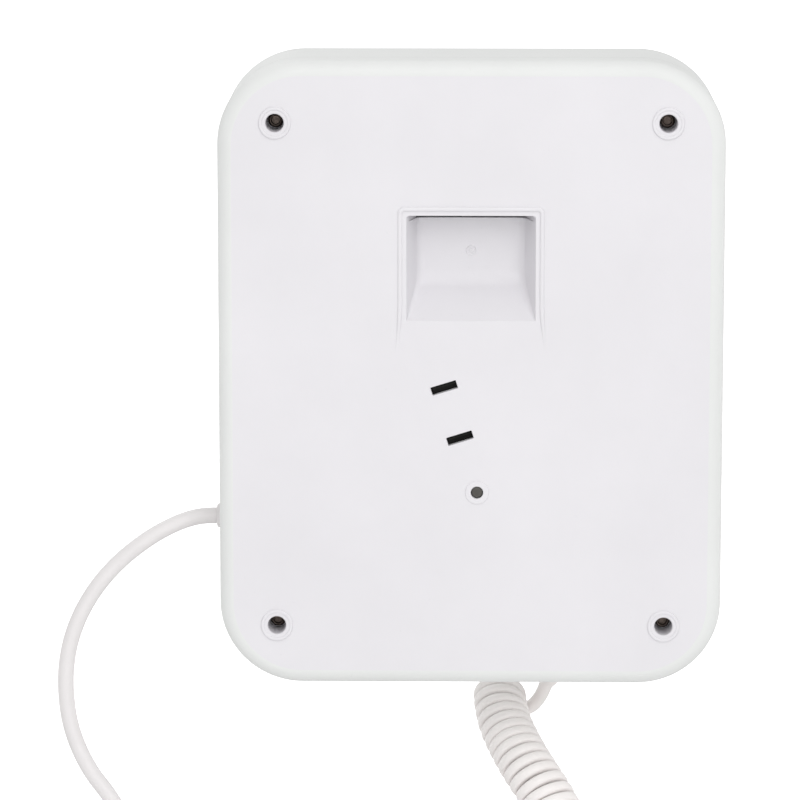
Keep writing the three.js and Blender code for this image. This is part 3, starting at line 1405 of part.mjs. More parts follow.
const capsuleRear = capFace - CAP_FACE - SEAT_GAP;
function capsule(neckRadius, z) {
  const radius = neckRadius - NECK_WALL - SEAT_GAP;
  return turnedY(
    [
      [0, capsuleRear - CAPSULE_THICKNESS],
      [radius - CAPSULE_STEP, capsuleRear - CAPSULE_THICKNESS],
      [radius - CAPSULE_STEP, capsuleRear - CAPSULE_THICKNESS / 2],
      [radius, capsuleRear - CAPSULE_THICKNESS / 2],
      [radius, capsuleRear],
      [0, capsuleRear],
    ],
    ROUND_SIDES,
  ).translate([0, 0, z]);
}

addPiece(handset, "handset_outer_shell", handsetOuterShell(), whiteShell);
addPiece(handset, "handset_inner_shell", handsetInnerShell(), whiteShell);
addPiece(handset, "ear_cap", handsetCap(EAR_CAP_RADIUS, earZ), whiteShell);
addPiece(handset, "mouth_cap", handsetCap(MOUTH_CAP_RADIUS, mouthZ), whiteShell);
addPiece(handset, "receiver_capsule", capsule(EAR_NECK_RADIUS, earZ), blackPlastic);
addPiece(handset, "microphone_capsule", capsule(MOUTH_NECK_RADIUS, mouthZ), blackPlastic);
const weightRear = handsetRear - HANDSET_WALL - SEAT_GAP;
addPiece(
  handset,
  "handset_weight",
  block(
    [-WEIGHT_WIDTH / 2, weightRear, handsetZ - WEIGHT_LENGTH / 2],
    [WEIGHT_WIDTH / 2, weightRear - WEIGHT_THICKNESS, handsetZ + WEIGHT_LENGTH / 2],
  ),
  steel,
);
const handsetScrew = geometryOf(
  screw(SCREW_HEAD_RADIUS, HANDSET_SCREW_HEAD, SCREW_SHANK_RADIUS, HANDSET_SCREW_LENGTH),
);
handsetScrewPlaces.forEach((z, i) => {
  addPiece(handset, "handset_screw_" + (i + 1), handsetScrew, darkScrew, [
    0,
    handsetRear - HANDSET_COUNTERBORE + SEAT_GAP,
    z,
  ]);
});
const boot = alongBoot(
  [
    [0, SEAT_GAP - BOOT_INSIDE],
    [BOOT_ROOT_RADIUS, SEAT_GAP - BOOT_INSIDE],
    [BOOT_ROOT_RADIUS, BOOT_SHOULDER],
    [BOOT_TIP_RADIUS, BOOT_LENGTH],
    [0, BOOT_LENGTH],
  ],
  POST_SIDES,
);
addPiece(handset, "handset_cord_boot", boot, whiteCord);

// ---------------------------------------------------------------- curly cord

const curlyGrommet = join(
  rodZ(
    CURLY_OUTLET_X,
    -CURLY_OUTLET_BACK,
    caseBottom - SEAT_GAP,
    caseBottom - CURLY_GROMMET_HEIGHT,
    CURLY_GROMMET_RADIUS,
  ),
  rodZ(
    CURLY_OUTLET_X,
    -CURLY_OUTLET_BACK,
    caseBottom - SEAT_GAP - ROOT,
    caseBottom + CASE_WALL + CURLY_GROMMET_INSIDE,
    CURLY_WIRE_DIAMETER / 2,
    POST_SIDES,
  ),
);
addPiece(base, "curly_cord_grommet", curlyGrommet, whiteCord);

// The curls: a helix round the axis whose pitch opens on a bend, so that the inner gap stays.
function curls() {
  const axis = new THREE.CatmullRomCurve3(vectors(CURLY_AXIS), false, "centripetal");
  const samples = CURLY_AXIS_SAMPLES;
  axis.arcLengthDivisions = samples / 2;
  const length = axis.getLength();
  const step = length / samples;
  const closePitch = CURLY_WIRE_DIAMETER + CURL_GAP;
  const normal = new THREE.Vector3(1, 0, 0);
  const centres = [];
  let turned = 0;
  let before = axis.getTangentAt(0);
  for (let i = 0; i <= samples; i++) {
    const tangent = axis.getTangentAt(i / samples);
    const bend = tangent.distanceTo(before) / step;
    before = tangent;
    normal.addScaledVector(tangent, -normal.dot(tangent)).normalize();
    const side = tangent.clone().cross(normal);
    const advance = (step * (1 - CURL_MEAN_RADIUS * bend)) / closePitch;
    const stepBefore = Math.floor(turned * STEPS_PER_CURL);
    const stepAfter = Math.floor((turned + advance) * STEPS_PER_CURL);
    if (i === 0 || stepBefore < stepAfter) {
      const angle = CURLY_START_TURN - 2 * Math.PI * turned;
      const point = axis.getPointAt(i / samples);
      point.addScaledVector(normal, CURL_MEAN_RADIUS * Math.cos(angle));
      point.addScaledVector(side, CURL_MEAN_RADIUS * Math.sin(angle));
      centres.push(point);
    }
    turned += advance;
  }
  return { centres, turned };
}

// A smooth stretch through the points, without its last two, which only steer its end.
function lead(points) {
  const steps = CURLY_LEAD_STEPS;
  const curve = new THREE.CatmullRomCurve3(points, false, "centripetal");
  const fine = curve.getPoints(steps * (points.length - 1));
  return fine.slice(0, steps * (points.length - 2));
}

const { centres: curlCentres, turned: curlCount } = curls();
const bootTip = bootRoot.clone().addScaledVector(bootDirection, BOOT_LENGTH + SEAT_GAP);
bootTip.x += handsetX;
const bootExit = bootTip.clone().addScaledVector(bootDirection, CURLY_WIRE_DIAMETER);
const startTail = lead([...vectors(CURLY_TAIL), curlCentres[0], curlCentres[1]]);
const endTail = lead(
  [bootTip, bootExit, ...vectors(CURLY_RETURN).reverse(), curlCentres.at(-1), curlCentres.at(-2)],
).reverse();
const curlyCentres = [...startTail, ...curlCentres, ...endTail];
addPiece(base, "curly_cord", tubeThrough(curlyCentres, CURLY_WIRE_DIAMETER / 2, CURLY_SIDES), whiteCord);

// ---------------------------------------------------------------- line cord

const gland = new THREE.Group();
gland.position.set(caseSide, -GLAND_BACK, glandZ);
base.add(gland);
addPiece(
  gland,
  "line_cord_gland",
  join(
    rodX(SEAT_GAP, GLAND_FLANGE_THICKNESS, 0, 0, GLAND_FLANGE_RADIUS),
    rodX(SEAT_GAP + ROOT, -CASE_WALL - GLAND_INSIDE_LENGTH, 0, 0, GLAND_BODY_RADIUS, POST_SIDES),
  ),
  whiteCord,
);

const lineCurve = new THREE.CatmullRomCurve3(vectors(LINE_ROUTE), false, "centripetal");
const section = new THREE.Shape();
for (let i = 0; i < LINE_SIDES; i++) {
  const angle = (2 * Math.PI * i) / LINE_SIDES;
  const corner = [(LINE_DIAMETER / 2) * Math.cos(angle), (LINE_DIAMETER / 2) * Math.sin(angle)];
  if (i) {
    section.lineTo(...corner);
  } else {
    section.moveTo(...corner);
  }
}
const lineTube = new THREE.ExtrudeGeometry(section, {
  steps: LINE_STEPS,
  bevelEnabled: false,
  extrudePath: lineCurve,
});
addPiece(base, "line_cord", solidOf(lineTube), whiteCord);

// The put-away length: turns about Y that spiral in and out again, a layer nearer the front each time.
function coilCentres() {
  const turnsPerLayer = COIL_TURNS / COIL_LAYERS;
  const rowPitch = LINE_DIAMETER + COIL_GAP;
  const outer = COIL_MEAN_RADIUS + (rowPitch * turnsPerLayer) / 2;
  const [entryX, entryY, entryZ] = LINE_ROUTE.at(-1);
  const start = entryZ - SEAT_GAP - LINE_DIAMETER;
  const middle = new THREE.Vector3(entryX - outer, entryY, start);
  const centres = [new THREE.Vector3(entryX, entryY, entryZ - SEAT_GAP)];
  const steps = COIL_TURNS * COIL_STEPS_PER_TURN;
  for (let i = 0; i <= steps; i++) {
    const turn = i / COIL_STEPS_PER_TURN;
    const layer = Math.min(Math.floor(turn / turnsPerLayer), COIL_LAYERS - 1);
    const within = turn - layer * turnsPerLayer;
    const inward = layer % 2 === 0 ? within : turnsPerLayer - within;
    const radius = outer - rowPitch * inward;
    // A climb to the next layer lies half on either side of each reversal.
    let climbed = layer;
    if (layer + 1 < COIL_LAYERS) {
      climbed += Math.max(0, within - turnsPerLayer + COIL_CLIMB_TURNS / 2) / COIL_CLIMB_TURNS;
    }
    if (layer > 0) {
      climbed -= Math.max(0, COIL_CLIMB_TURNS / 2 - within) / COIL_CLIMB_TURNS;
    }
    const angle = -2 * Math.PI * turn;
    centres.push(
      new THREE.Vector3(
        middle.x + radius * Math.cos(angle),
        middle.y - rowPitch * climbed,
        middle.z + radius * Math.sin(angle),
      ),
    );
  }
  const last = centres.at(-1);
  centres.push(new THREE.Vector3(last.x, last.y, last.z - COIL_TAIL_DROP));
  return { centres, middle, outer, rowPitch };
}

const coil = coilCentres();
addPiece(base, "line_cord_coil", tubeThrough(coil.centres, LINE_DIAMETER / 2, COIL_SIDES), whiteCord);

const bundleInner = 2 * COIL_MEAN_RADIUS - coil.outer - LINE_DIAMETER / 2 - TIE_GAP;
const bundleOuter = coil.outer + LINE_DIAMETER / 2 + TIE_GAP;
const bundleRear = coil.middle.y + LINE_DIAMETER / 2 + TIE_GAP;
const bundleFront = coil.middle.y - (COIL_LAYERS - 1) * coil.rowPitch - LINE_DIAMETER / 2 - TIE_GAP;
const tieBand = (grow, width) =>
  block(
    [-width / 2, bundleRear + grow, bundleInner - grow],
    [width / 2, bundleFront - grow, bundleOuter + grow],
  );
addPiece(
  base,
  "cord_tie",
  cut(tieBand(TIE_THICKNESS, TIE_WIDTH), tieBand(0, TIE_WIDTH + 2 * PAST)),
  blackPlastic,
  [coil.middle.x, 0, coil.middle.z],
);

const plugTop = coil.centres.at(-1);
const plugGroup = new THREE.Group();
plugGroup.position.set(plugTop.x, plugTop.y, plugTop.z - SEAT_GAP);
base.add(plugGroup);
const latchFront = -PLUG_DEPTH / 2 - PLUG_LATCH_STAND - PLUG_LATCH_THICKNESS;
const latchNose = PLUG_LATCH_INSET - PLUG_LENGTH;
addPiece(
  plugGroup,
  "line_plug",
  join(
    block([-PLUG_WIDTH / 2, PLUG_DEPTH / 2, -PLUG_LENGTH], [PLUG_WIDTH / 2, -PLUG_DEPTH / 2, 0]),
    block(
      [-PLUG_LATCH_WIDTH / 2, -PLUG_DEPTH / 2 + ROOT, latchNose],
      [PLUG_LATCH_WIDTH / 2, latchFront, latchNose + PLUG_LATCH_FOOT],
    ),
    block(
      [-PLUG_LATCH_WIDTH / 2, -PLUG_DEPTH / 2 - PLUG_LATCH_STAND, latchNose],
      [PLUG_LATCH_WIDTH / 2, latchFront, latchNose + PLUG_LATCH_LENGTH],
    ),
  ),
  clearPlastic,
);

const report = (what, value) => console.log(what + ": " + value.toFixed(2) + " mm");
report("least gap between curls", leastGap(curlyCentres, CURLY_WIRE_DIAMETER, CURL_MEAN_RADIUS));
report("least gap between turns", leastGap(coil.centres, LINE_DIAMETER, COIL_MEAN_RADIUS));
report("curly cord length", pathLength(curlyCentres));
report("line cord length", lineCurve.getLength() + pathLength(coil.centres));
console.log("curls: " + curlCount.toFixed(1));

export default phone;
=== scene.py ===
import bmesh
import bpy
import math
import numpy as np
from mathutils import Matrix, Vector


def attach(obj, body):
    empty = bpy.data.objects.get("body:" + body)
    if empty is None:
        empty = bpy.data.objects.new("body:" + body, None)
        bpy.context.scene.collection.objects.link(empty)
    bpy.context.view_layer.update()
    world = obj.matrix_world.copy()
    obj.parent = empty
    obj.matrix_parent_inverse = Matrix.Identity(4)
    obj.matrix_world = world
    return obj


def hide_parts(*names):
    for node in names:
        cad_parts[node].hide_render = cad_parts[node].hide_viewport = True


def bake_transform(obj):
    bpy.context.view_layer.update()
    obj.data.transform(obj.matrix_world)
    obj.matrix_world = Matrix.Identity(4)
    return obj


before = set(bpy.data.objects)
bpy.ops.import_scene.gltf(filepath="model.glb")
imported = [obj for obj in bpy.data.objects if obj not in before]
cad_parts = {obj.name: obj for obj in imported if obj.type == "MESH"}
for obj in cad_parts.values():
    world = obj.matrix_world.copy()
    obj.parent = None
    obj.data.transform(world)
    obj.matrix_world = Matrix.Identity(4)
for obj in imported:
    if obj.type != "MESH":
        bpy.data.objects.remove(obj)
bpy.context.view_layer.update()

# Every length below is in millimetres, and MM turns it into metres.
MM = 0.001
QUARTER = math.pi / 2
scene = bpy.context.scene


def add_object(name, data):
    added = bpy.data.objects.new(name, data)
    scene.collection.objects.link(added)
    return added

# ---------------- camera

CAMERA_PLACE = (0, 1.3287, 0.2266)
CAMERA_YAW, CAMERA_PITCH = 0.0165, 0.1742
SENSOR, LENS = 36, 195.57
camera_data = bpy.data.cameras.new("camera")
camera_data.sensor_fit = "HORIZONTAL"
camera_data.sensor_width = SENSOR
camera_data.lens = LENS
camera = add_object("camera", camera_data)
camera.location = CAMERA_PLACE
camera.rotation_euler = Vector((
    math.sin(CAMERA_YAW) * math.cos(CAMERA_PITCH),
    -math.cos(CAMERA_YAW) * math.cos(CAMERA_PITCH),
    -math.sin(CAMERA_PITCH),
)).to_track_quat("-Z", "Y").to_euler()
scene.camera = camera

# ---------------- mesh helpers

SHARP_ANGLE = math.radians(34)
FLAT_COSINE = 0.99999  # faces whose normals are this near to each other are parts of one flat face
WELD = 1e-7


def build(name, vertices, faces):
    mesh = bpy.data.meshes.new(name)
    mesh.from_pydata([tuple(c * MM for c in v) for v in vertices], [], faces)
    edit = bmesh.new()
    edit.from_mesh(mesh)
    bmesh.ops.remove_doubles(edit, verts=edit.verts, dist=WELD)
    bmesh.ops.recalc_face_normals(edit, faces=edit.faces)
    edit.to_mesh(mesh)
    edit.free()
    return add_object(name, mesh)


def loft(name, loops):
    """A closed solid through rings of as many points each, flat on its first and last ring."""
    count = len(loops[0])
    vertices = [point for loop in loops for point in loop]
    faces = [tuple(range(count)), tuple(range(len(vertices) - count, len(vertices)))]
    for k in range(len(loops) - 1):
        a, b = k * count, (k + 1) * count
        faces += [(a + i, a + (i + 1) % count, b + (i + 1) % count, b + i) for i in range(count)]
    return build(name, vertices, faces)


def arc(x, y, radius, start, end, steps):
    """Points along a circle about (x, y), from one angle to another."""
    angles = np.linspace(start, end, steps + 1)
    return [(x + radius * math.cos(a), y + radius * math.sin(a)) for a in angles]


def rounded(width, height, radius, x=0.0, z=0.0, steps=14):
    """Corner points of a rectangle with round corners, as (x, z)."""
    radius = max(min(radius, width / 2 - 1e-4, height / 2 - 1e-4), 1e-3)
    across, up = width / 2 - radius, height / 2 - radius
    points = []
    for quarter, (sx, sz) in enumerate([(1, 1), (-1, 1), (-1, -1), (1, -1)]):
        start = QUARTER * quarter
        points += arc(x + sx * across, z + sz * up, radius, start, start + QUARTER, steps)
    return points


def rectangle(x0, z0, x1, z1):
    return [(x0, z0), (x1, z0), (x1, z1), (x0, z1)]


def at_depth(outline, y):
    return [(x, y, z) for x, z in outline]


def slab(name, outline, rear, front, rear_edge=0.0, front_edge=0.0, steps=10):
    """A plate between two depths whose edges are rounded. outline gives its points for an inset."""
    levels, last = [(0, rear)], [(0, front)]
    if rear_edge:
        levels = arc(rear_edge, rear - rear_edge, rear_edge, QUARTER, 2 * QUARTER, steps)
    if front_edge:
        last = arc(front_edge, front + front_edge, front_edge, 2 * QUARTER, 3 * QUARTER, steps)
    return loft(name, [at_depth(outline(inset), y) for inset, y in levels + last])


def turned(name, profile, x=0.0, z=0.0, sides=48):
    """A solid turned about Y through (x, z), from (radius, y) pairs that start and end on the axis."""
    vertices, faces, rings = [], [], []
    for radius, y in profile:
        if radius < 1e-6:
            rings.append([len(vertices)])
            vertices.append((x, y, z))
        else:
            rings.append(list(range(len(vertices), len(vertices) + sides)))
            angles = [2 * math.pi * i / sides for i in range(sides)]
            vertices += [(x + radius * math.cos(a), y, z + radius * math.sin(a)) for a in angles]
    for a, b in zip(rings, rings[1:]):
        for i in range(sides):
            j = (i + 1) % sides
            corners = [a[i % len(a)], a[j % len(a)], b[j % len(b)], b[i % len(b)]]
            corners = list(dict.fromkeys(corners))
            if len(corners) > 2:
                faces.append(corners)
    return build(name, vertices, faces)


def pillar(radius, rear, front, x=0.0, z=0.0, sides=48):
    return turned("pillar", [(0, rear), (radius, rear), (radius, front), (0, front)], x, z, sides)


def block(name, low, high):
    (x0, y0, z0), (x1, y1, z1) = low, high
    return loft(name, [at_depth(rectangle(x0, z0, x1, z1), y) for y in (y0, y1)])


def aim(piece, direction, place):
    """Turns a piece made along Y so that its -Y end points along direction, from place."""
    turn = Vector((0, -1, 0)).rotation_difference(Vector(direction)).to_matrix().to_4x4()
    piece.data.transform(turn)
    piece.data.transform(Matrix.Translation(Vector(place) * MM))
    return piece


def remove(piece):
    mesh = piece.data
    bpy.data.objects.remove(piece)
    bpy.data.meshes.remove(mesh)


def evaluated_mesh(piece):
    graph = bpy.context.evaluated_depsgraph_get()
    return bpy.data.meshes.new_from_object(piece.evaluated_get(graph))


def apply_modifiers(piece):
    mesh, old = evaluated_mesh(piece), piece.data
    piece.modifiers.clear()
    piece.data = mesh
    mesh.name = piece.name
    bpy.data.meshes.remove(old)


def combine(target, operation, others):
    for other in others:
        modifier = target.modifiers.new("boolean", "BOOLEAN")
        modifier.operation = operation
        modifier.solver = "MANIFOLD"
        modifier.object = other
        apply_modifiers(target)
        remove(other)
    return target


def join(target, *others):
    return combine(target, "UNION", others)


def cut(target, *others):
    return combine(target, "DIFFERENCE", others)


def keep(target, other):
    return combine(target, "INTERSECT", [other])


def smooth(piece, angle=SHARP_ANGLE):
    """Smooth shading up to an angle, in which a flat face stays flat however it is cut up."""
    mesh = piece.data
    mesh.shade_smooth()
    mesh.set_sharp_from_angle(angle=angle)
    edit = bmesh.new()
    edit.from_mesh(mesh)
    flat_of, flats = {}, []
    for seed in edit.faces:
        if seed in flat_of:
            continue
        flat_of[seed] = len(flats)
        area, stack = 0.0, [seed]
        while stack:
            face = stack.pop()
            area += face.calc_area()
            for other in (f for edge in face.edges for f in edge.link_faces):
                if other not in flat_of and seed.normal.dot(other.normal) > FLAT_COSINE:
                    flat_of[other] = len(flats)
                    stack.append(other)
        flats.append(seed.normal * area)
    normals = [(0, 0, 0)] * len(mesh.loops)
    for vertex in edit.verts:
        fans = {face: [face] for face in vertex.link_faces}
        for edge in vertex.link_edges:
            if edge.smooth and len(edge.link_faces) == 2:
                first, second = (fans[face] for face in edge.link_faces)
                if first is not second:
                    first += second
                    for face in second:
                        fans[face] = first
        for loop in vertex.link_loops:
            total = sum((flats[i] for i in {flat_of[face] for face in fans[loop.face]}), Vector())
            normals[loop.index] = total.normalized()
    edit.free()
    mesh.normals_split_custom_set(normals)
    return piece


def merge(name, pieces):
    """One object from pieces that stay apart in it."""
    edit = bmesh.new()
    for piece in pieces:
        edit.from_mesh(piece.data)
        remove(piece)
    mesh = bpy.data.meshes.new(name)
    edit.to_mesh(mesh)
    edit.free()
    return add_object(name, mesh)


def spline(points, steps):
    """A centripetal Catmull-Rom line through the points, with that many steps between each two."""
    points = [np.array(p, float) for p in points]
    ends = [2 * points[0] - points[1], *points, 2 * points[-1] - points[-2]]
    line = []
    for i in range(len(points) - 1):
        x0, x1, x2, x3 = ends[i:i + 4]
        d0, d1, d2 = (
            max(np.dot(b - a, b - a) ** 0.25, 1e-4) for a, b in ((x0, x1), (x1, x2), (x2, x3))
        )
        t1 = ((x1 - x0) / d0 - (x2 - x0) / (d0 + d1) + (x2 - x1) / d1) * d1
        t2 = ((x2 - x1) / d1 - (x3 - x1) / (d1 + d2) + (x3 - x2) / d2) * d1
        c2 = -3 * x1 + 3 * x2 - 2 * t1 - t2
        c3 = 2 * x1 - 2 * x2 + t1 + t2
        line += [x1 + t1 * w + c2 * w * w + c3 * w ** 3 for w in np.arange(steps) / steps]
    return line + [points[-1]]


def directions(line):
    """The line's direction at each of its points."""
    along = np.gradient(line, axis=0)
    return along / np.linalg.norm(along, axis=1)[:, None]


def square_to(tangent, normal):
    """The direction square to the tangent that is nearest to the normal."""
    normal = normal - tangent * np.dot(normal, tangent)
    return normal / np.linalg.norm(normal)


def tube(name, centres, radius, sides):
    """A closed tube of one radius along a line, whose rings don't twist."""
    centres = np.array(centres, float)
    tangents = directions(centres)
    normal = np.cross(tangents[0], (0.0, 0.0, 1.0))
    if np.linalg.norm(normal) < 0.2:
        normal = np.cross(tangents[0], (1.0, 0.0, 0.0))
    angles = 2 * math.pi * np.arange(sides) / sides
    loops = []
    for centre, tangent in zip(centres, tangents):
        normal = square_to(tangent, normal)
        side = np.cross(tangent, normal)
        loops.append([
            tuple(centre + radius * (math.cos(a) * normal + math.sin(a) * side)) for a in angles
        ])
    return loft(name, loops)


def dress(piece, look, body, slot, *nodes):
    """Gives a piece its material and its body, and hides the CAD nodes that it stands for. Its slot is
    not used.
    """
    piece.data.materials.clear()
    piece.data.materials.append(look)
    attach(piece, body)
    if nodes:
        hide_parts(*nodes)
    return piece

# ---------------- materials

class Look:
    """A material in the making. What its methods return are outputs of the nodes that they add."""

    def __init__(self, name):
        self.material = bpy.data.materials.new(name)
        self.material.use_nodes = True
        self.tree = self.material.node_tree
        self.place = self.add("ShaderNodeTexCoord", {})["Object"]

    def feed(self, socket, value):
        if isinstance(value, bpy.types.NodeSocket):
            self.tree.links.new(value, socket)
        else:
            socket.default_value = value

    def add(self, kind, inputs, **settings):
        node = self.tree.nodes.new(kind)
        for key, value in settings.items():
            setattr(node, key, value)
        for key, value in inputs.items():
            self.feed(node.inputs[key], value)
        return node.outputs

    def noise(self, scale, detail=3.0, roughness=0.55, stretch=None):
        place = self.place
        if stretch:
            place = self.add("ShaderNodeMapping", {"Scale": stretch, "Vector": place})["Vector"]
        inputs = {"Scale": scale, "Detail": detail, "Roughness": roughness, "Vector": place}
        return self.add("ShaderNodeTexNoise", inputs)["Fac"]

    def ramp(self, value, stops):
        node = self.tree.nodes.new("ShaderNodeValToRGB")
        while len(node.color_ramp.elements) < len(stops):
            node.color_ramp.elements.new(0.5)
        for element, (position, colour) in zip(node.color_ramp.elements, stops):
            element.position = position
            element.color = (*colour, 1)
        self.feed(node.inputs["Fac"], value)
        return node.outputs["Color"]

    def spread(self, value, low, high, start=0.3, end=0.7):
        inputs = {"From Min": start, "From Max": end, "To Min": low, "To Max": high, "Value": value}
        return self.add("ShaderNodeMapRange", inputs)["Result"]

    def mix(self, mode, factor, first, second):
        inputs = {0: factor, 6: first, 7: second}
        return self.add("ShaderNodeMix", inputs, data_type="RGBA", blend_type=mode)[2]

    def math(self, operation, first, second):
        return self.add("ShaderNodeMath", {0: first, 1: second}, operation=operation)[0]

    def axis(self, letter):
        return self.add("ShaderNodeSeparateXYZ", {0: self.place})[letter]

    def finish(self, inputs, *bumps):
        """Feeds the shader, with bumps one on another from (height, depth in millimetres) pairs."""
        for height, depth in bumps:
            layer = {"Strength": 1, "Distance": depth * MM, "Height": height}
            if "Normal" in inputs:
                layer["Normal"] = inputs["Normal"]
            inputs["Normal"] = self.add("ShaderNodeBump", layer)["Normal"]
        for key, value in inputs.items():
            self.feed(self.tree.nodes["Principled BSDF"].inputs[key], value)
        return self.material


def shades(colour, darker, lighter):
    return [tuple(min(1.0, c * level) for c in colour) for level in (1 - darker, 1 + lighter)]


def plastic(name, colour, roughness, tint=0.03, grain=0.012, corner_shade_strength=0.5):
    """Moulded plastic: faint clouding, fine grain, painted shade that darkens the corners, and hair
    scratches.
    """
    look = Look(name)
    low, high = shades(colour, tint, tint * 0.4)
    base = look.ramp(look.noise(22, 4), [(0.3, low), (0.7, high)])
    specks = look.ramp(look.noise(900, 2), [(0.2, (0.95,) * 3), (0.32, (1.0,) * 3)])
    # Painted shade: the colour darkens where ambient occlusion finds corners and creases.
    nearby = look.add("ShaderNodeAmbientOcclusion", {"Distance": 1.5 * MM}, samples=4)["AO"]
    painted_corner_shade = look.ramp(nearby, [(0.45, (1 - 0.2 * corner_shade_strength,) * 3), (0.85, (1.0,) * 3)])
    for layer in (specks, painted_corner_shade):
        base = look.mix("MULTIPLY", 1.0, base, layer)
    gloss = look.spread(look.noise(70, 3), roughness - 0.05, roughness + 0.06)
    scratches = look.spread(look.noise(60, 2, 0.5, stretch=(1, 1, 14)), 0.0, 0.07, 0.62, 0.7)
    return look.finish(
        {"Base Color": base, "Roughness": look.math("ADD", gloss, scratches)},
        (look.noise(160, 2), grain * 2), (look.noise(1500, 3), grain),
    )


def metal(name, colour, roughness, brush=(1, 1, 1), pits=0.01, tint=0.12):
    """Plated or turned metal: clouded colour, brushed gloss and small pits."""
    look = Look(name)
    low, high = shades(colour, tint, tint)
    lines = look.noise(500, 3, 0.6, stretch=brush)
    return look.finish({
        "Base Color": look.ramp(look.noise(130, 4), [(0.32, low), (0.68, high)]),
        "Metallic": 1,
        "Roughness": look.spread(lines, roughness - 0.08, roughness + 0.12),
    }, (lines, pits), (look.noise(900, 2), pits))


SHELL_COLOUR = (0.772, 0.758, 0.785)
RIM_COLOUR = (0.775, 0.785, 0.775)
# The cords are one white vinyl. CORD_COLOUR is painted light: lighter than the vinyl, to make up for the
# shade between the curly cord's turns.
CORD_COLOUR = (0.9, 0.865, 0.85)
shell_look = plastic("shell_plastic", SHELL_COLOUR, 0.42)
rim_look = plastic("rim_plastic", RIM_COLOUR, 0.55)
handset_look = plastic("handset_plastic", RIM_COLOUR, 0.36)
cord_look = plastic("cord_vinyl", CORD_COLOUR, 0.46, tint=0.05, grain=0.006, corner_shade_strength=0.1)
# Painted shade: LINE_COLOUR is a darker copy of the same cord vinyl.
LINE_COLOUR = (0.805, 0.78, 0.78)
line_look = plastic("line_cord_vinyl", LINE_COLOUR, 0.4, tint=0.05, grain=0.006, corner_shade_strength=0.1)
screw_look = metal("screw_steel", (0.13, 0.105, 0.09), 0.4, pits=0.02, tint=0.3)
# Painted shade: the ringer frame is near black so that the slots in the rear cover read dark.
frame_shade_look = metal("frame_steel_painted_shade", (0.02, 0.02, 0.019), 0.55, tint=0.2)
peg_look = metal("peg_steel", (0.115, 0.11, 0.102), 0.5, tint=0.2)
steel_look = metal("plated_steel", (0.46, 0.46, 0.45), 0.36)
brass_look = metal("gong_brass", (0.58, 0.42, 0.18), 0.26, brush=(1, 12, 1))
key_look = plastic("key_plastic", (0.105, 0.11, 0.125), 0.38, tint=0.06, grain=0.01)
digit_look = plastic("digit_print", (0.86, 0.86, 0.85), 0.5)
bezel_look = plastic("bezel_plastic", (0.55, 0.555, 0.59), 0.4)
rubber_look = plastic("mat_rubber", (0.24, 0.245, 0.255), 0.8, grain=0.03)
black_look = plastic("black_plastic", (0.02, 0.02, 0.022), 0.4, tint=0.15)


def copper_winding():
    look = Look("copper_winding")
    inputs = {"Scale": 700, "Distortion": 0.6, "Vector": look.place}
    wires = look.add("ShaderNodeTexWave", inputs, bands_direction="Y")["Fac"]
    clouds = look.noise(160, 3)
    return look.finish({
        "Base Color": look.ramp(clouds, [(0.3, (0.34, 0.12, 0.05)), (0.7, (0.55, 0.24, 0.11))]),
        "Metallic": 0.85,
        "Roughness": look.spread(clouds, 0.28, 0.42),
    }, (wires, 0.12))


def board_varnish():
    look = Look("board_varnish")
    inputs = {"Scale": 190, "Vector": look.place}
    tracks = look.add("ShaderNodeTexVoronoi", inputs, distance="MANHATTAN", feature="F2")["Distance"]
    dark, pale = (0.03, 0.17, 0.07), (0.06, 0.27, 0.12)
    return look.finish({
        "Base Color": look.ramp(tracks, [(0.4, dark), (0.46, pale), (0.52, pale), (0.58, dark)]),
        "Roughness": look.spread(look.noise(90), 0.3, 0.45),
    }, (tracks, 0.04))


def card_paper():
    """Paper with ruled lines and no writing."""
    look = Look("card_paper")
    half_row, line_width = 2.75 * MM, 0.1 * MM
    ruled = look.math("LESS_THAN", look.math("PINGPONG", look.axis("Z"), half_row), line_width)
    fibre = look.noise(700, 4)
    paper = look.ramp(fibre, [(0.3, (0.8, 0.78, 0.7)), (0.7, (0.88, 0.865, 0.8))])
    return look.finish({
        "Base Color": look.mix("MIX", ruled, paper, (0.3, 0.38, 0.5, 1)),
        "Roughness": look.spread(fibre, 0.75, 0.9),
    }, (fibre, 0.02))


def clear_plastic(name, tint, transmission):
    look = Look(name)
    haze = look.noise(120, 3)
    return look.finish({
        "Base Color": look.ramp(haze, [(0.3, tuple(c * 0.96 for c in tint)), (0.7, tint)]),
        "Roughness": look.spread(haze, 0.04, 0.11),
        "Transmission Weight": transmission,
        "IOR": 1.49,
    }, (look.noise(300, 2), 0.004))


copper_look = copper_winding()
board_look = board_varnish()
card_look = card_paper()
window_look = clear_plastic("clear_plastic", (0.97, 0.97, 0.97), 0.95)
plug_look = clear_plastic("plug_plastic", (0.9, 0.91, 0.9), 0.7)

# ---------------- case

CASE_WIDTH, CASE_HEIGHT, CASE_DEPTH, CASE_CORNER = 157, 196, 50, 26
CASE_WALL = 2.4
CASE_REAR_EDGE = 4.5
SEAM_REAR, SEAM_FRONT = -14.0, -14.3
SCREW_PLACES = [(60.5, 79), (-60.5, 79), (-60.5, -79), (60.5, -79)]
SCREW_BORE = 1.55
HANDSET_X, KEYPAD_X = -38, 34
CARD_Z = 62
RINGER_PLACE, RINGER_TILT = (3.3, -19.3), math.radians(17.3)
SLOT_WIDTH, SLOT_HEIGHT, SLOT_RISE = 8.2, 2.55, 16.6
PEG_BELOW_SLOT = -18


def case_outline(inset=0.0):
    return rounded(CASE_WIDTH - 2 * inset, CASE_HEIGHT - 2 * inset, CASE_CORNER - inset, steps=24)


def case_slab(name, inset, rear, front, rear_edge=0.0, front_edge=0.0):
    return slab(name, lambda more: case_outline(inset + more), rear, front, rear_edge, front_edge, 12)


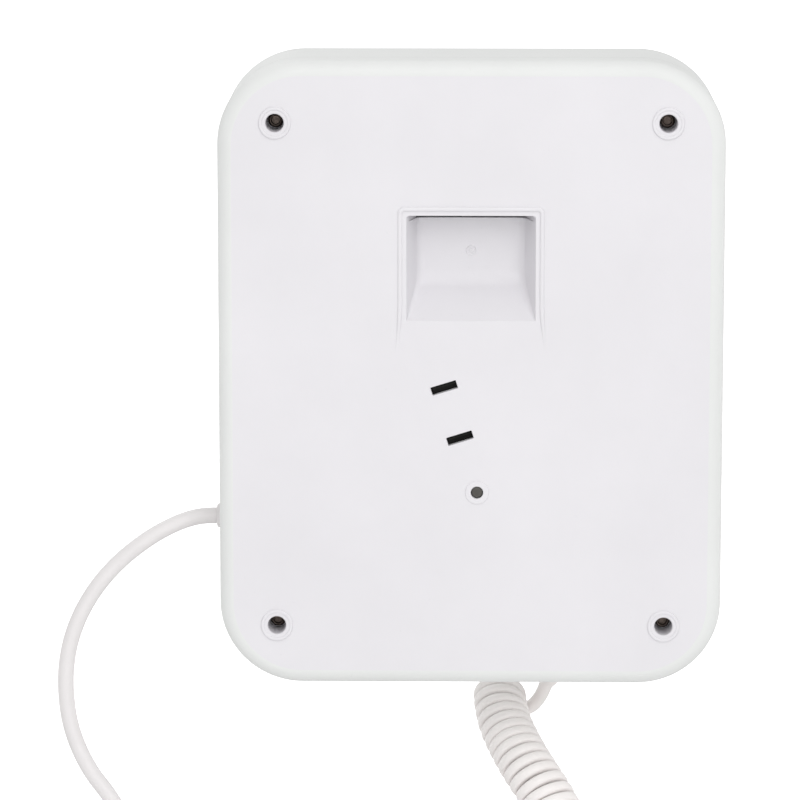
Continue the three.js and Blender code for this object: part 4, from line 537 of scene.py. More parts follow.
def tilted(points):
    """Points (x, z) about the ringer's lower slot, turned as the ringer is."""
    cosine, sine = math.cos(RINGER_TILT), math.sin(RINGER_TILT)
    return [
        (RINGER_PLACE[0] + x * cosine + z * sine, RINGER_PLACE[1] - x * sine + z * cosine)
        for x, z in points
    ]


PEG_PLACE = tilted([(0, PEG_BELOW_SLOT)])[0]


LIP_Z = 50.4
RECESS_DEPTH = 12.0


def recess_depths():
    """The hang recess's depth at each height: a straight ramp that runs into the floor through an arc."""
    foot, rise, blend = 17.5, 11.5, 8.0
    slope = math.atan2(RECESS_DEPTH, rise)
    start = foot + rise + blend * math.tan(slope / 2)
    levels = [(foot - 0.3, -0.3), (foot + 0.02, 0.02)]
    levels += [(foot + rise * t, RECESS_DEPTH * t) for t in (0.02, 0.06, 0.15, 0.3, 0.5, 0.7)]
    return levels + arc(start, RECESS_DEPTH - blend, blend, QUARTER + slope, QUARTER, 12)


def recess_cutter():
    """The hang recess: a sloping pocket whose side walls run into its floor through an arc."""
    mouth, taper, mouth_edge, floor_blend, corner = 19.9, 3.4 / 12, 0.25, 2.6, 0.9
    lean = math.atan(taper)
    levels = recess_depths()
    levels += [(z, RECESS_DEPTH) for z in (38, 44, LIP_Z - corner)]
    levels += [(LIP_Z - corner * (1 - math.sin(a)), RECESS_DEPTH) for a in np.linspace(0.3, QUARTER, 5)]
    loops = []
    for z, depth in levels:
        deep = max(depth, 0.02)
        past = max(z - LIP_Z + corner, 0) / corner
        half = mouth - corner * (1 - math.sqrt(max(1 - past ** 2, 0)))
        edge, blend = min(mouth_edge, deep / 2), min(floor_blend, deep * 0.6)
        reach = blend * math.tan((QUARTER - lean) / 2)
        side = [(half + edge, 1.5)] + arc(half + edge, -edge, edge, QUARTER, 2 * QUARTER, 4)
        side += arc(half - taper * deep - reach, blend - deep, blend, -lean, -QUARTER, 8)
        if depth < 0:
            side = [(x, max(y, -depth)) for x, y in side]
        loops.append([(x, y, z) for x, y in side] + [(-x, y, z) for x, y in reversed(side)])
    return loft("recess", loops)


def frame_bead():
    """The raised band round the recess, whose legs flare and fade below it."""
    half, corner, top, foot, straight_end = 21.95, 1.3, 52.45, 8.4, 24.5
    right = []
    for t in np.linspace(0, 1, 17):
        rise = min(1.0, t / 0.7)
        flare, fade = 1.25 * (1 - t) ** 2, rise ** 2 * (3 - 2 * rise)
        right.append((half + flare, foot + (straight_end - foot) * t, fade))
    right.append((half, 38.0, 1.0))
    right += [(x, z, 1.0) for x, z in arc(half - corner, top - corner, corner, 0, QUARTER, 8)]
    path = right + [(0.0, top, 1.0)] + [(-x, z, h) for x, z, h in reversed(right)]
    along = directions(np.array([(x, z) for x, z, _ in path]))
    side = [(0.15, 0.5), (0.4, 0.46), (0.62, 0.3), (0.75, -0.02), (0.75, -1.2)]
    section = [(-u, h) for u, h in reversed(side)] + side
    loops = []
    for (x, z, high), (tx, tz) in zip(path, along):
        wide = 0.4 + 0.6 * high
        loops.append([
            (x + u * wide * tz, h if h < 0 else 0.02 + (h - 0.02) * high, z - u * wide * tx)
            for u, h in section
        ])
    return loft("bead", loops)


def well_ring(x, z):
    return turned("ring", [
        (0, -1.2), (5.1, -1.2), (5.1, -0.02), (5.0, 0.12), (4.93, 0.36), (4.8, 0.47), (4.62, 0.5),
        (4.3, 0.5), (4.12, 0.46), (4.02, 0.34), (3.96, 0.25), (0, 0.25),
    ], x, z)


def well_bore(x, z):
    return turned("bore", [
        (0, 1.2), (3.2, 1.2), (3.2, 0.3), (3.1, 0.22), (2.95, 0.12), (2.84, -0.02), (2.8, -0.25),
        (2.8, -10.8), (SCREW_BORE, -10.8), (SCREW_BORE, -14), (0, -14),
    ], x, z)


def ringer_slot(rise):
    loops = []
    for grow, y in ((0.22, 1), (0.22, 0.0), (0.08, -0.08), (0, -0.25), (0, -4)):
        points = rounded(SLOT_WIDTH + 2 * grow, SLOT_HEIGHT + 2 * grow, 0.15 + grow, 0, rise, 4)
        loops.append(at_depth(tilted(points), y))
    return loft("slot", loops)


def rear_cover():
    cover = case_slab("rear_cover_moulding", 0, 0, SEAM_REAR, CASE_REAR_EDGE)
    cover = cut(cover, case_slab("hollow", CASE_WALL, -CASE_WALL, -20, 2.1))
    lip = join(case_slab("lip", 1.2, -10, SEAM_REAR), case_slab("tongue", 2.7, -10.2, -16.5))
    lip = cut(lip, case_slab("hollow", 3.9, -9, -18))
    backing = loft("backing", [
        at_depth(rectangle(-w, low, w, 56), y) for w, low, y in ((21.63, 16.46, -1.0), (18.5, 29, -14))
    ])
    cover = join(cover, lip, backing, frame_bead())
    for x, z in SCREW_PLACES:
        cover = join(cover, well_ring(x, z), pillar(4.9, -1.2, -12.9, x, z))
    peg_ring = [(0, -1), (3.78, -1), (3.78, -0.02), (3.68, 0.1), (3.6, 0.28), (3.45, 0.35), (0, 0.35)]
    peg_hole = [(0, 1), (2.15, 1), (2.15, 0.36), (2.0, 0.26), (1.9, 0.1), (1.9, -4), (0, -4)]
    cover = join(cover, turned("ring", peg_ring, *PEG_PLACE))
    cutters = [well_bore(x, z) for x, z in SCREW_PLACES]
    cutters += [ringer_slot(0), ringer_slot(SLOT_RISE), turned("hole", peg_hole, *PEG_PLACE)]
    cutters.append(recess_cutter())
    cutters.append(loft("undercut", [
        at_depth(rectangle(-w, LIP_Z - 2.1, w, LIP_Z + 3.6), y)
        for w, y in ((19.4, -2.6), (17.2, -12), (17, -16))
    ]))
    nub = turned("nub", [
        (0, -13), (1.6, -13), (1.6, -11.95), (1.5, -11.8), (1.3, -11.76), (1.12, -11.86),
        (0.95, -11.9), (0.7, -11.78), (0.45, -11.62), (0, -11.56),
    ], 0, 37.9, 24)
    return smooth(join(cut(cover, *cutters), nub))


BAY_LEFT, BAY_RIGHT, BAY_FLOOR = -65, -11, -47
BAY_CORNER, BAY_MOUTH_EDGE = 2.0, 0.7
LOUVRE_PITCH, LOUVRES_Z = 5.4, -65


def bay_cutter():
    """The handset's bay: a channel down the whole front, with rounded corners along it."""
    corner, edge = BAY_CORNER, BAY_MOUTH_EDGE
    section = arc(BAY_LEFT + corner, BAY_FLOOR - corner, corner, 2 * QUARTER, QUARTER, 6)
    section += arc(BAY_RIGHT - corner, BAY_FLOOR - corner, corner, QUARTER, 0, 6)
    right = arc(BAY_RIGHT + edge, edge - CASE_DEPTH, edge, 2 * QUARTER, 3 * QUARTER, 4)
    left = arc(BAY_LEFT - edge, edge - CASE_DEPTH, edge, 3 * QUARTER, 4 * QUARTER, 4)
    section += right + [(right[-1][0], -52), (left[0][0], -52)] + left
    return loft("bay", [[(x, y, z) for x, y in section] for z in (-99, 99)])


def louvre(z):
    return loft("louvre", [
        at_depth(rounded(44 + 2 * grow, 2.6 + 2 * grow, 1.3 + grow, KEYPAD_X, z, 8), y)
        for grow, y in ((0.5, -51), (0.5, -50.0), (0.2, -49.85), (0, -49.5), (0, -46))
    ])


def rod(name, start, end, radius, sides=32):
    start, end = np.array(start, float), np.array(end, float)
    return tube(name, [start, (start + end) / 2, end], radius, sides)


def front_shell():
    shell = cut(
        case_slab("front_shell_moulding", 0, SEAM_FRONT, -CASE_DEPTH, 0, 6),
        case_slab("hollow", CASE_WALL, -12, CASE_WALL - CASE_DEPTH, 0, 3.6),
    )
    backing = keep(
        case_slab("backing", 0.02, SEAM_FRONT, -CASE_DEPTH, 0, 6),
        block("strip", (BAY_LEFT - CASE_WALL, -44.6, -100), (BAY_RIGHT + CASE_WALL, -49.9, 100)),
    )
    shell = join(shell, backing)
    shell = join(shell, *(pillar(4, -13.2, -48.6, x, z, 24) for x, z in SCREW_PLACES))
    board_posts = [(KEYPAD_X + across, z) for across in (-27, 27) for z in (-42, 46)]
    shell = join(shell, *(pillar(3, -39.5, -48.6, x, z, 20) for x, z in board_posts))
    cutters = [bay_cutter()]
    cutters += [pillar(SCREW_BORE, -12, -27, x, z, 20) for x, z in SCREW_PLACES]
    cutters += [
        slab("bezel_recess", lambda i: rounded(67.6, 81, 6, KEYPAD_X, 0), -48.8, -51),
        slab("window", lambda i: rounded(59, 72.4, 1.5, KEYPAD_X, 0), -46, -51),
        slab("card_recess", lambda i: rounded(59.6, 20.6, 2, KEYPAD_X, CARD_Z), -48.5, -51),
        *(louvre(LOUVRES_Z + i * LOUVRE_PITCH) for i in range(-2, 3)),
        block("hook_slot", (-49.4, -43.6, 37.8), (-26.6, -48, 44.8)),
        rod("gland_hole", (80, -25, -49), (75, -25, -49), 3.3),
        rod("cord_hole", (-28, -40, -99), (-28, -40, -94.6), 2.55),
        block("lever_slot", (37.1, -32, -99), (48.9, -28, -94.6)),
    ]
    return smooth(cut(shell, *cutters))


def tint_rim(cover):
    """The rounded edge and the sides of the rear cover are as the front shell."""
    cover.data.materials.append(rim_look)
    for face in cover.data.polygons:
        x, z = abs(face.center.x / MM), abs(face.center.z / MM)
        over_x, over_z = x - CASE_WIDTH / 2 + CASE_CORNER, z - CASE_HEIGHT / 2 + CASE_CORNER
        if over_x > 0 and over_z > 0:
            inside = CASE_CORNER - math.hypot(over_x, over_z)
        else:
            inside = min(CASE_WIDTH / 2 - x, CASE_HEIGHT / 2 - z)
        if inside < CASE_REAR_EDGE - 0.01:
            face.material_index = 1


tint_rim(dress(rear_cover(), shell_look, "base", "shell", "rear_cover"))
dress(front_shell(), rim_look, "base", "shell", "front_shell")


def cross_screw(name, x, z, head_top, head_height, length):
    """A pan head with a rounded rim and a tapered cross recess, on a threaded shank."""
    base = head_top - head_height
    profile = [(radius, head_top - drop) for radius, drop in (
        (0, 0.3), (0.4, 0.36), (0.62, 0.9), (1.2, 0.9), (1.42, 0.2), (1.56, 0.02), (1.7, 0),
        (1.84, 0.1), (2.15, 0.55), (2.4, 1.1), (2.4, head_height), (1.25, head_height),
    )]
    for k in range(int((length - 1.5) / 0.9)):
        y = base - 0.4 - 0.9 * k
        profile += [(0.95, y), (1.25, y - 0.45)]
    profile += [(0.95, base - length + 1.2), (0, base - length)]
    screw = turned(name, profile, x, z, 32)
    ends = ((head_top + 0.3, 1.4 * 1.08), (head_top - 1.1, 1.4 * 0.55))
    for upright in (False, True):
        loops = []
        for y, reach in ends:
            w, h = (0.36, reach) if upright else (reach, 0.36)
            loops.append(at_depth(rectangle(x - w, z - h, x + w, z + h), y))
        screw = cut(screw, loft("cross", loops))
    return smooth(screw)


for number, (x, z) in enumerate(SCREW_PLACES, 1):
    screw = cross_screw(f"case_screw_cross_{number}", x, z, -8.5, 2, 14)
    dress(screw, screw_look, "base", "dark_screw", f"case_screw_{number}")

peg_profile = [(0, -1.3), (1.72, -1.3), (1.72, -0.68), (1.62, -0.58), (0, -0.55)]
dress(smooth(turned("ringer_peg_end", peg_profile, *PEG_PLACE)), peg_look, "base", "steel")

# ---------------- keypad and card

KEY_NAMES = [*"123456789", "star", "0", "hash"]
KEY_SIGNS = {"star": "*", "hash": "#"}
KEY_WIDTH, KEY_HEIGHT = 13, 10.4
KEY_PITCH_X, KEY_PITCH_Z = 19, 18
KEY_DISH_INSETS = [0.95, 1.6, 2.6, 3.6, 5.0]
KEY_DISH_DEPTHS = [-53.98, -53.93, -53.8, -53.7, -53.66]
INLAY_OUT, INLAY_IN = -0.05, 0.25


def key_cap(name, x, z):
    levels = [(0, -48.3), (0, -53.03)]
    levels += arc(0.95, -53.03, 0.95, 2 * QUARTER + 0.2, 3 * QUARTER, 6)
    levels += list(zip(KEY_DISH_INSETS[1:], KEY_DISH_DEPTHS[1:]))
    cap = loft(name, [
        at_depth(rounded(KEY_WIDTH - 2 * i, KEY_HEIGHT - 2 * i, max(2.2 - i, 0.18), x, z, 8), y)
        for i, y in levels
    ])
    flange = slab(
        "flange", lambda i: rounded(15.6 - 2 * i, 13 - 2 * i, 1.2, x, z, 4), -47.5, -48.7, 0.2, 0.2, 3
    )
    stem = slab("stem", lambda i: rounded(5, 5, 0.6, x, z, 4), -46.2, -48.0)
    return smooth(join(cap, flange, stem), math.radians(40))


def key_digit(name, text, x, z):
    """The key's number as a thin inlay that follows the dish of the key."""
    curve = bpy.data.curves.new(name, "FONT")
    curve.body = text
    curve.size = (8.2 if text == "*" else 6.2) * MM
    curve.extrude = 0.1 * MM
    curve.resolution_u = 6
    letter = add_object(name, curve)
    mesh = evaluated_mesh(letter)
    bpy.data.objects.remove(letter)
    edit = bmesh.new()
    edit.from_mesh(mesh)
    bmesh.ops.remove_doubles(edit, verts=edit.verts, dist=WELD)
    middle = [
        (min(v.co[i] for v in edit.verts) + max(v.co[i] for v in edit.verts)) / 2 for i in (0, 1)
    ]
    for vertex in edit.verts:
        u, v = ((vertex.co[i] - middle[i]) / MM for i in (0, 1))
        inset = min(KEY_WIDTH / 2 - abs(u), KEY_HEIGHT / 2 - abs(v))
        dish = float(np.interp(inset, KEY_DISH_INSETS, KEY_DISH_DEPTHS))
        y = dish + (INLAY_OUT if vertex.co.z > 0 else INLAY_IN)
        vertex.co = Vector((x + u, y, z + v)) * MM
    bmesh.ops.recalc_face_normals(edit, faces=edit.faces)
    edit.to_mesh(mesh)
    edit.free()
    return add_object(name, mesh)


key_places = []
for i, key_name in enumerate(KEY_NAMES):
    x, z = KEYPAD_X + (i % 3 - 1) * KEY_PITCH_X, (1.5 - i // 3) * KEY_PITCH_Z
    key_places.append((x, z))
    body = f"button_{key_name}"
    dress(key_cap(f"key_cap_{key_name}", x, z), key_look, body, "grey_plastic", f"key_{key_name}")
    digit = key_digit(f"key_sign_{key_name}", KEY_SIGNS.get(key_name, key_name), x, z)
    dress(digit, digit_look, body, "shell")


def key_window(x, z):
    width, height = KEY_WIDTH + 0.8, KEY_HEIGHT + 0.8
    return loft("window", [
        at_depth(rounded(width + 2 * grow, height + 2 * grow, 2.4 + grow, x, z, 6), y)
        for grow, y in ((0.45, -52), (0.45, -51.3), (0.2, -51.15), (0, -50.85), (0, -48.6))
    ])


def keypad_bezel():
    plate = slab(
        "keypad_bezel_plate", lambda i: rounded(67 - 2 * i, 80.4 - 2 * i, 6 - i, KEYPAD_X, 0, 12),
        -49.1, -51.3, 0, 0.7, 5,
    )
    return smooth(cut(plate, *(key_window(x, z) for x, z in key_places)))


dress(keypad_bezel(), bezel_look, "base", "bezel", "keypad_bezel")
card = slab("index_card_ruled", lambda i: rounded(56, 17, 1, KEYPAD_X, CARD_Z, 5), -48.8, -49.1)
dress(smooth(card), card_look, "base", "card", "index_card")
window = slab(
    "index_card_cover", lambda i: rounded(59 - 2 * i, 20 - 2 * i, 2 - i, KEYPAD_X, CARD_Z, 8),
    -49.4, -50.4, 0, 0.35, 4,
)
dress(smooth(window), window_look, "base", "clear", "index_card_window")

# ---------------- handset

HANDSET_REAR, HANDSET_FRONT = -61, -79
EAR_Z, MOUTH_Z = 66, -78
HANDSET_SCREWS = (30, -42)


def bezier(p0, p1, p2, p3, steps=22):
    p0, p1, p2, p3 = (np.array(p, float) for p in (p0, p1, p2, p3))
    return [
        tuple((1 - t) ** 3 * p0 + 3 * (1 - t) ** 2 * t * p1 + 3 * (1 - t) * t ** 2 * p2 + t ** 3 * p3)
        for t in (np.arange(steps) + 0.5) / steps
    ]


def handset_outline(inset=0.0):
    half, waist, radius = 23 - inset, 19.5 - inset, 20 - inset
    top, bottom, middle, reach = 72, -84, -6, 46
    left = bezier((-half, top), (-half, top - reach / 2), (-waist, middle + reach), (-waist, middle))
    left += bezier(
        (-waist, middle), (-waist, middle - reach), (-half, bottom + reach / 2), (-half, bottom)
    )
    centre = half - radius
    points = arc(centre, top, radius, 0, QUARTER, 20)
    points += arc(-centre, top, radius, QUARTER, 2 * QUARTER, 20) + left
    points += arc(-centre, bottom, radius, 2 * QUARTER, 3 * QUARTER, 20)
    points += arc(centre, bottom, radius, 3 * QUARTER, 4 * QUARTER, 20)
    points += [(-x, z) for x, z in reversed(left)]
    return [(HANDSET_X + x, z) for x, z in points]


def handset_hollow():
    return slab("hollow", lambda i: handset_outline(2 + i), -63, -77, 1, 1, 4)


BOOT_ROOT = (-20, -70, -95)
BOOT_LEAN = math.radians(20)
BOOT_DIRECTION = (math.sin(BOOT_LEAN), 0, -math.cos(BOOT_LEAN))


def boot_hole():
    return aim(pillar(4.3, 4, -14, sides=32), BOOT_DIRECTION, BOOT_ROOT)


def handset_outer():
    levels = [(0, -70.15), (0, -72.0)]
    crown, edge, last = 0.5, 7.0, math.radians(84)
    for a in np.linspace(0.08, last, 16):
        fall = (edge - crown) * math.sin(a) / math.sin(last)
        levels.append((edge * (1 - math.cos(a)), -72.0 - fall))
    for inset in (8, 10, 12, 14, 16, 17.5):
        levels.append((inset, HANDSET_FRONT + crown * ((17.5 - inset) / 11.2) ** 2))
    shell = loft("handset_outer_moulding", [at_depth(handset_outline(i), y) for i, y in levels])
    shell = cut(shell, handset_hollow())
    for z in HANDSET_SCREWS:
        post = pillar(3.4, -67.2, -77.6, HANDSET_X, z, 24)
        shell = cut(join(shell, post), pillar(SCREW_BORE, -66, -75, HANDSET_X, z, 20))
    return smooth(cut(shell, boot_hole()))


def handset_inner():
    shell = slab("handset_inner_moulding", handset_outline, HANDSET_REAR, -69.85, 3, 0, 10)
    shell = cut(shell, handset_hollow())
    for radius, z in ((19, EAR_Z), (17, MOUTH_Z)):
        neck = turned("neck", [
            (0, -54.1), (radius, -54.1), (radius, -59.6), (radius + 0.16, -60.2),
            (radius + 0.5, -60.7), (radius + 1.1, -61.0), (radius + 1.1, -62), (0, -62),
        ], HANDSET_X, z, 72)
        shell = cut(join(shell, neck), pillar(radius - 2, -53, -64, HANDSET_X, z, 64))
    for z in HANDSET_SCREWS:
        bore = turned("bore", [
            (0, -60), (3.0, -60), (3.0, -61), (2.8, -61.12), (2.7, -61.4), (2.7, -63.2),
            (SCREW_BORE, -63.2), (SCREW_BORE, -68), (0, -68),
        ], HANDSET_X, z, 32)
        shell = cut(join(shell, pillar(3.4, -61.5, -66.9, HANDSET_X, z, 24)), bore)
    return smooth(cut(shell, boot_hole()))


def handset_cap(name, radius, z):
    """A turned cap with a dished face and a ring of sound holes round a middle one."""
    face, back, dish = -47.8, -53.8, 0.7
    flat = radius - 1.6

    def level(reach):
        return face - dish * (1 - (reach / flat) ** 2) ** 1.5

    profile = [(flat * t, level(flat * t)) for t in np.linspace(0, 1, 12)]
    profile += [
        (flat + 1.6 * math.sin(a), face - 1.4 * (1 - math.cos(a))) for a in np.linspace(0.2, QUARTER, 8)
    ]
    profile += [
        (radius, back + 0.3), (radius - 0.3, back), (radius - 2, back), (radius - 2, -50.2), (0, -50.2)
    ]
    cap = turned(name, profile, HANDSET_X, z, 96)
    ring = [(7 * math.cos(a), 7 * math.sin(a)) for a in np.radians(range(0, 360, 60))]
    for x, up in [(0, 0)] + ring:
        y = level(math.hypot(x, up))
        cap = cut(cap, turned("hole", [
            (0, -46), (1.55, -46), (1.55, y + 0.02), (1.4, y - 0.06), (1.27, y - 0.2), (1.2, y - 0.4),
            (1.2, -52), (0, -52),
        ], HANDSET_X + x, z + up, 24))
    return smooth(cap)


def cord_boot():
    profile = [(0, 3.7), (4, 3.7), (4, -1.6)]
    for k in range(5):
        y = -2.0 - 2.2 * k
        radius = 4 + 0.08181 * (y + 2)
        profile += [(radius, y), (radius, y - 1.1), (radius - 0.7, y - 1.35), (radius - 0.7, y - 1.95)]
    profile += [(3.05, -13.4), (2.9, -13.9), (2.7, -14), (0, -14)]
    return smooth(aim(turned("handset_cord_relief", profile, sides=40), BOOT_DIRECTION, BOOT_ROOT))


for piece, node in (
    (handset_outer(), "handset_outer_shell"),
    (handset_inner(), "handset_inner_shell"),
    (handset_cap("ear_cap_turned", 22, EAR_Z), "ear_cap"),
    (handset_cap("mouth_cap_turned", 20, MOUTH_Z), "mouth_cap"),
):
    dress(piece, handset_look, "handset", "shell", node)
dress(cord_boot(), cord_look, "handset", "cord", "handset_cord_boot")
for number, z in enumerate(HANDSET_SCREWS, 1):
    screw = cross_screw(f"handset_screw_cross_{number}", HANDSET_X, z, -61.3, 1.6, 9)
    dress(screw, screw_look, "handset", "dark_screw", f"handset_screw_{number}")

# ---------------- curly cord

WIRE = 4.5
CURL_RADIUS = 6.4
CURL_STEPS = 24
SHOWN_PITCH, HIDDEN_PITCH = 3.5, 7.2
SHOWN_AXIS = (75, 110)  # where along the axis the close winding ends and the open one begins
BEND_OPENING = 0.6
CURLY_SIDES = 16
PRESSED_HIGH, PRESSED_WIDE, PRESSED_SQUARE = 1.02, 0.79, 0.42
CURLY_OUTLET = (-28, -40, -98)
CURLY_TAIL = [
    (-28, -40, -99.3), (-27.9, -40.3, -103), (-26.6, -43.4, -106.3), (-24.9, -47.3, -109),
    (-23.9, -51, -112.4), (-22.4, -54.2, -115.9), (-19.8, -56.8, -119.1), (-15.4, -58.4, -120.6),
]
CURLY_AXIS = [
    (-9.7, -54.6, -113.9), (-10.1, -49.5, -116.8), (-11.5, -43, -121.2), (-14.4, -36, -126.1),
    (-17.8, -29.5, -130.8), (-21.3, -24.6, -135.2), (-24.7, -20.8, -139.6), (-29.2, -15.7, -147.3),
    (-32.6, -11.9, -157), (-34.4, -10.2, -171.4), (-34.4, -10, -186), (-33.6, -10.8, -204),
    (-32.4, -16, -225), (-31.6, -27, -239.4), (-31, -42, -244), (-31, -56.6, -238),
    (-31, -66.6, -225), (-31, -70, -209), (-31, -70, -192), (-31, -70, -174),
]
CURLY_RETURN = [
    (-27.2, -70, -158), (-22.6, -70, -149.6), (-17.4, -70, -141), (-13.8, -70, -133.4), (-12, -70, -124),
]
AXIS_STEPS, AXIS_WINDOW = 12000, 12


def curls():
    """A helix round the axis that opens on a bend, and the direction away from the axis at each point."""
    axis = np.array(spline(CURLY_AXIS, 400))
    along = np.concatenate([[0], np.cumsum(np.linalg.norm(np.diff(axis, axis=0), axis=1))])
    places = np.linspace(0, along[-1], AXIS_STEPS + 1)
    points = np.stack([np.interp(places, along, axis[:, i]) for i in range(3)], axis=1)
    numbers = np.arange(AXIS_STEPS + 1)
    after, before = np.minimum(numbers + AXIS_WINDOW, AXIS_STEPS), np.maximum(numbers - AXIS_WINDOW, 0)
    tangents = points[after] - points[before]
    tangents /= np.linalg.norm(tangents, axis=1)[:, None]
    step = along[-1] / AXIS_STEPS
    normal = np.array([1.0, 0.0, 0.0])
    centres, outward, turned_by = [], [], 0.0
    for i, tangent in enumerate(tangents):
        bend = np.linalg.norm(tangents[after[i]] - tangents[before[i]]) / (2 * AXIS_WINDOW * step)
        normal = square_to(tangent, normal)
        pitch = np.interp(places[i], SHOWN_AXIS, (SHOWN_PITCH, HIDDEN_PITCH))
        advance = step * (1 - BEND_OPENING * CURL_RADIUS * bend) / pitch
        if i == 0 or int(turned_by * CURL_STEPS) < int((turned_by + advance) * CURL_STEPS):
            angle = math.pi / 2 - 2 * math.pi * turned_by
            outward.append(math.cos(angle) * normal + math.sin(angle) * np.cross(tangent, normal))
            centres.append(points[i] + CURL_RADIUS * outward[-1])
        turned_by += advance
    return centres, outward


def curly_skin(name, line, outward, first):
    """The cord's skin: round where it runs straight, and pressed a little flat between its curls."""
    line = np.array(line, float)
    tangents = directions(line)
    count, last = len(line), first + len(outward) - 1
    normals = [None] * count
    normals[first:last + 1] = outward
    before, after = range(first - 1, -1, -1), range(last + 1, count)
    for i, known in [(i, i + 1) for i in before] + [(i, i - 1) for i in after]:
        normals[i] = normals[known] - tangents[i] * np.dot(normals[known], tangents[i])
    angles = 2 * math.pi * np.arange(CURLY_SIDES) / CURLY_SIDES
    loops = []
    for i in range(count):
        pressed = np.clip(min(i - first, last - i) / CURL_STEPS, 0, 1)
        high = WIRE / 2 * (1 + (PRESSED_HIGH - 1) * pressed)
        wide = WIRE / 2 * (1 + (PRESSED_WIDE - 1) * pressed)
        power = 1 - PRESSED_SQUARE * pressed
        normal = square_to(tangents[i], normals[i])
        side = np.cross(tangents[i], normal)
        u, v = (np.sign(w) * np.abs(w) ** power for w in (np.cos(angles), np.sin(angles)))
        ring = line[i] + np.outer(high * u, normal) + np.outer(wide * v, side)
        loops.append([tuple(point) for point in ring])
    return loft(name, loops)


def lead(points, steps=10):
    """A smooth stretch through the points but the last, which only steers its end."""
    return spline(points, steps)[:steps * (len(points) - 2)]


curl_line, curl_outward = curls()
boot_tip = np.array(BOOT_ROOT, float) + 14.3 * np.array(BOOT_DIRECTION)
boot_exit = boot_tip + WIRE * np.array(BOOT_DIRECTION)
steer = CURL_STEPS // 8
curly_start = lead(CURLY_TAIL + [curl_line[0], curl_line[steer]])
curly_end = lead([boot_tip, boot_exit, *reversed(CURLY_RETURN), curl_line[-1], curl_line[-1 - steer]])
curly_line = curly_start + curl_line + curly_end[::-1]
curly = curly_skin("curly_handset_cord", curly_line, curl_outward, len(curly_start))
curly.data.shade_smooth()
curly.data.materials.append(cord_look)
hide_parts("curly_cord")
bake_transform(curly)

grommet = turned("curly_cord_bush", [
    (0, 5.4), (2.25, 5.4), (2.25, -0.3), (3.3, -0.3), (3.55, -0.5), (3.6, -0.8), (3.45, -1.25),
    (3.1, -1.5), (2.6, -1.6), (0, -1.6),
], sides=40)
dress(smooth(aim(grommet, (0, 0, -1), CURLY_OUTLET)), cord_look, "base", "cord", "curly_cord_grommet")

# ---------------- line cord

LINE = 5.2
LINE_ROUTE = [
    (79.2, -25, -49), (85.6, -24.8, -49.3), (91, -24.2, -50.6), (98.6, -23, -54), (106, -21.6, -58.8),
    (113, -20.4, -64.8), (118.8, -19, -71.6), (123.4, -17.8, -79.2), (126.6, -16.6, -87.4),
    (128.2, -15.4, -96), (128.3, -14.4, -105), (127.1, -13.4, -113.8), (124.4, -12.4, -122),
    (120.2, -11.2, -129.8), (115, -10, -136.6), (110.4, -8.8, -144), (107, -7.6, -153),
    (105.4, -6.4, -164), (105, -5.4, -175), (105, -5, -184.5),
]
COIL_TURNS, COIL_LAYERS, COIL_ROW = 9, 4, 5.7
COIL_OUTER = 30 + COIL_ROW * COIL_TURNS / COIL_LAYERS / 2
COIL_MIDDLE = (105 - COIL_OUTER, -5, -190)
COIL_STEPS = 48


def coil_line():
    """Turns that spiral in and out again in layers towards the front, and a straight end to the plug."""
    per_layer = COIL_TURNS / COIL_LAYERS
    line = []
    for i in range(COIL_TURNS * COIL_STEPS + 1):
        turn = i / COIL_STEPS
        layer = min(int(turn / per_layer), COIL_LAYERS - 1)
        within = turn - layer * per_layer
        radius = COIL_OUTER - COIL_ROW * (within if layer % 2 == 0 else per_layer - within)
        climbed = layer
        if layer + 1 < COIL_LAYERS:
            climbed += max(0, within - per_layer + 0.25) * 2
        if layer > 0:
            climbed -= max(0, 0.25 - within) * 2
        angle = -2 * math.pi * turn
        line.append((
            COIL_MIDDLE[0] + radius * math.cos(angle),
            COIL_MIDDLE[1] - COIL_ROW * climbed,
            COIL_MIDDLE[2] + radius * math.sin(angle),
        ))
    x, y, z = line[-1]
    return line + [(x, y, z - drop) for drop in (4, 10, 16, 22, 28, 34, 40, 46)]


line_line = spline(LINE_ROUTE, 8) + coil_line()
line_cord = smooth(tube("line_cord_run", line_line, LINE / 2, 20))
dress(line_cord, line_look, "base", "cord", "line_cord", "line_cord_coil")

gland = turned("line_cord_bush", [
    (0, 8.4), (3, 8.4), (3, -0.3), (3.6, -0.3), (3.85, -0.5), (3.9, -1.1), (3.75, -1.7), (3.3, -2.0),
    (2.75, -2.1), (0, -2.1),
], sides=40)
dress(smooth(aim(gland, (1, 0, 0), (78.5, -25, -49))), line_look, "base", "cord", "line_cord_gland")


def tie_ring(name, grow, half, edge=0.0):
    """A band round the coil's top, from one side of the band to the other."""
    inner, outer = (
        rounded(23.3 + 2 * g, 19.02 + 2 * g, 1.8 + g, -13.55, -160, 6) for g in (grow - edge, grow)
    )
    rows = [(-half, inner), (edge - half, outer), (half - edge, outer), (half, inner)]
    if not edge:
        rows = rows[::3]
    return loft(name, [[(COIL_MIDDLE[0] + x, y, z) for y, z in ring] for x, ring in rows])


tie = cut(tie_ring("cord_tie_band", 1.2, 2.5, 0.3), tie_ring("hollow", 0, 4))
tie = join(tie, slab(
    "head", lambda i: rounded(5.8 - 2 * i, 6.4 - 2 * i, 1.0, COIL_MIDDLE[0], -158, 5),
    -25.6, -29.4, 0, 0.6, 4,
))
dress(smooth(tie), black_look, "base", "black_plastic", "cord_tie")

PLUG_X, PLUG_Y, PLUG_TOP = 105, -22.1, -236.3
PLUG_CONTACTS = (-3.06, -1.02, 1.02, 3.06)


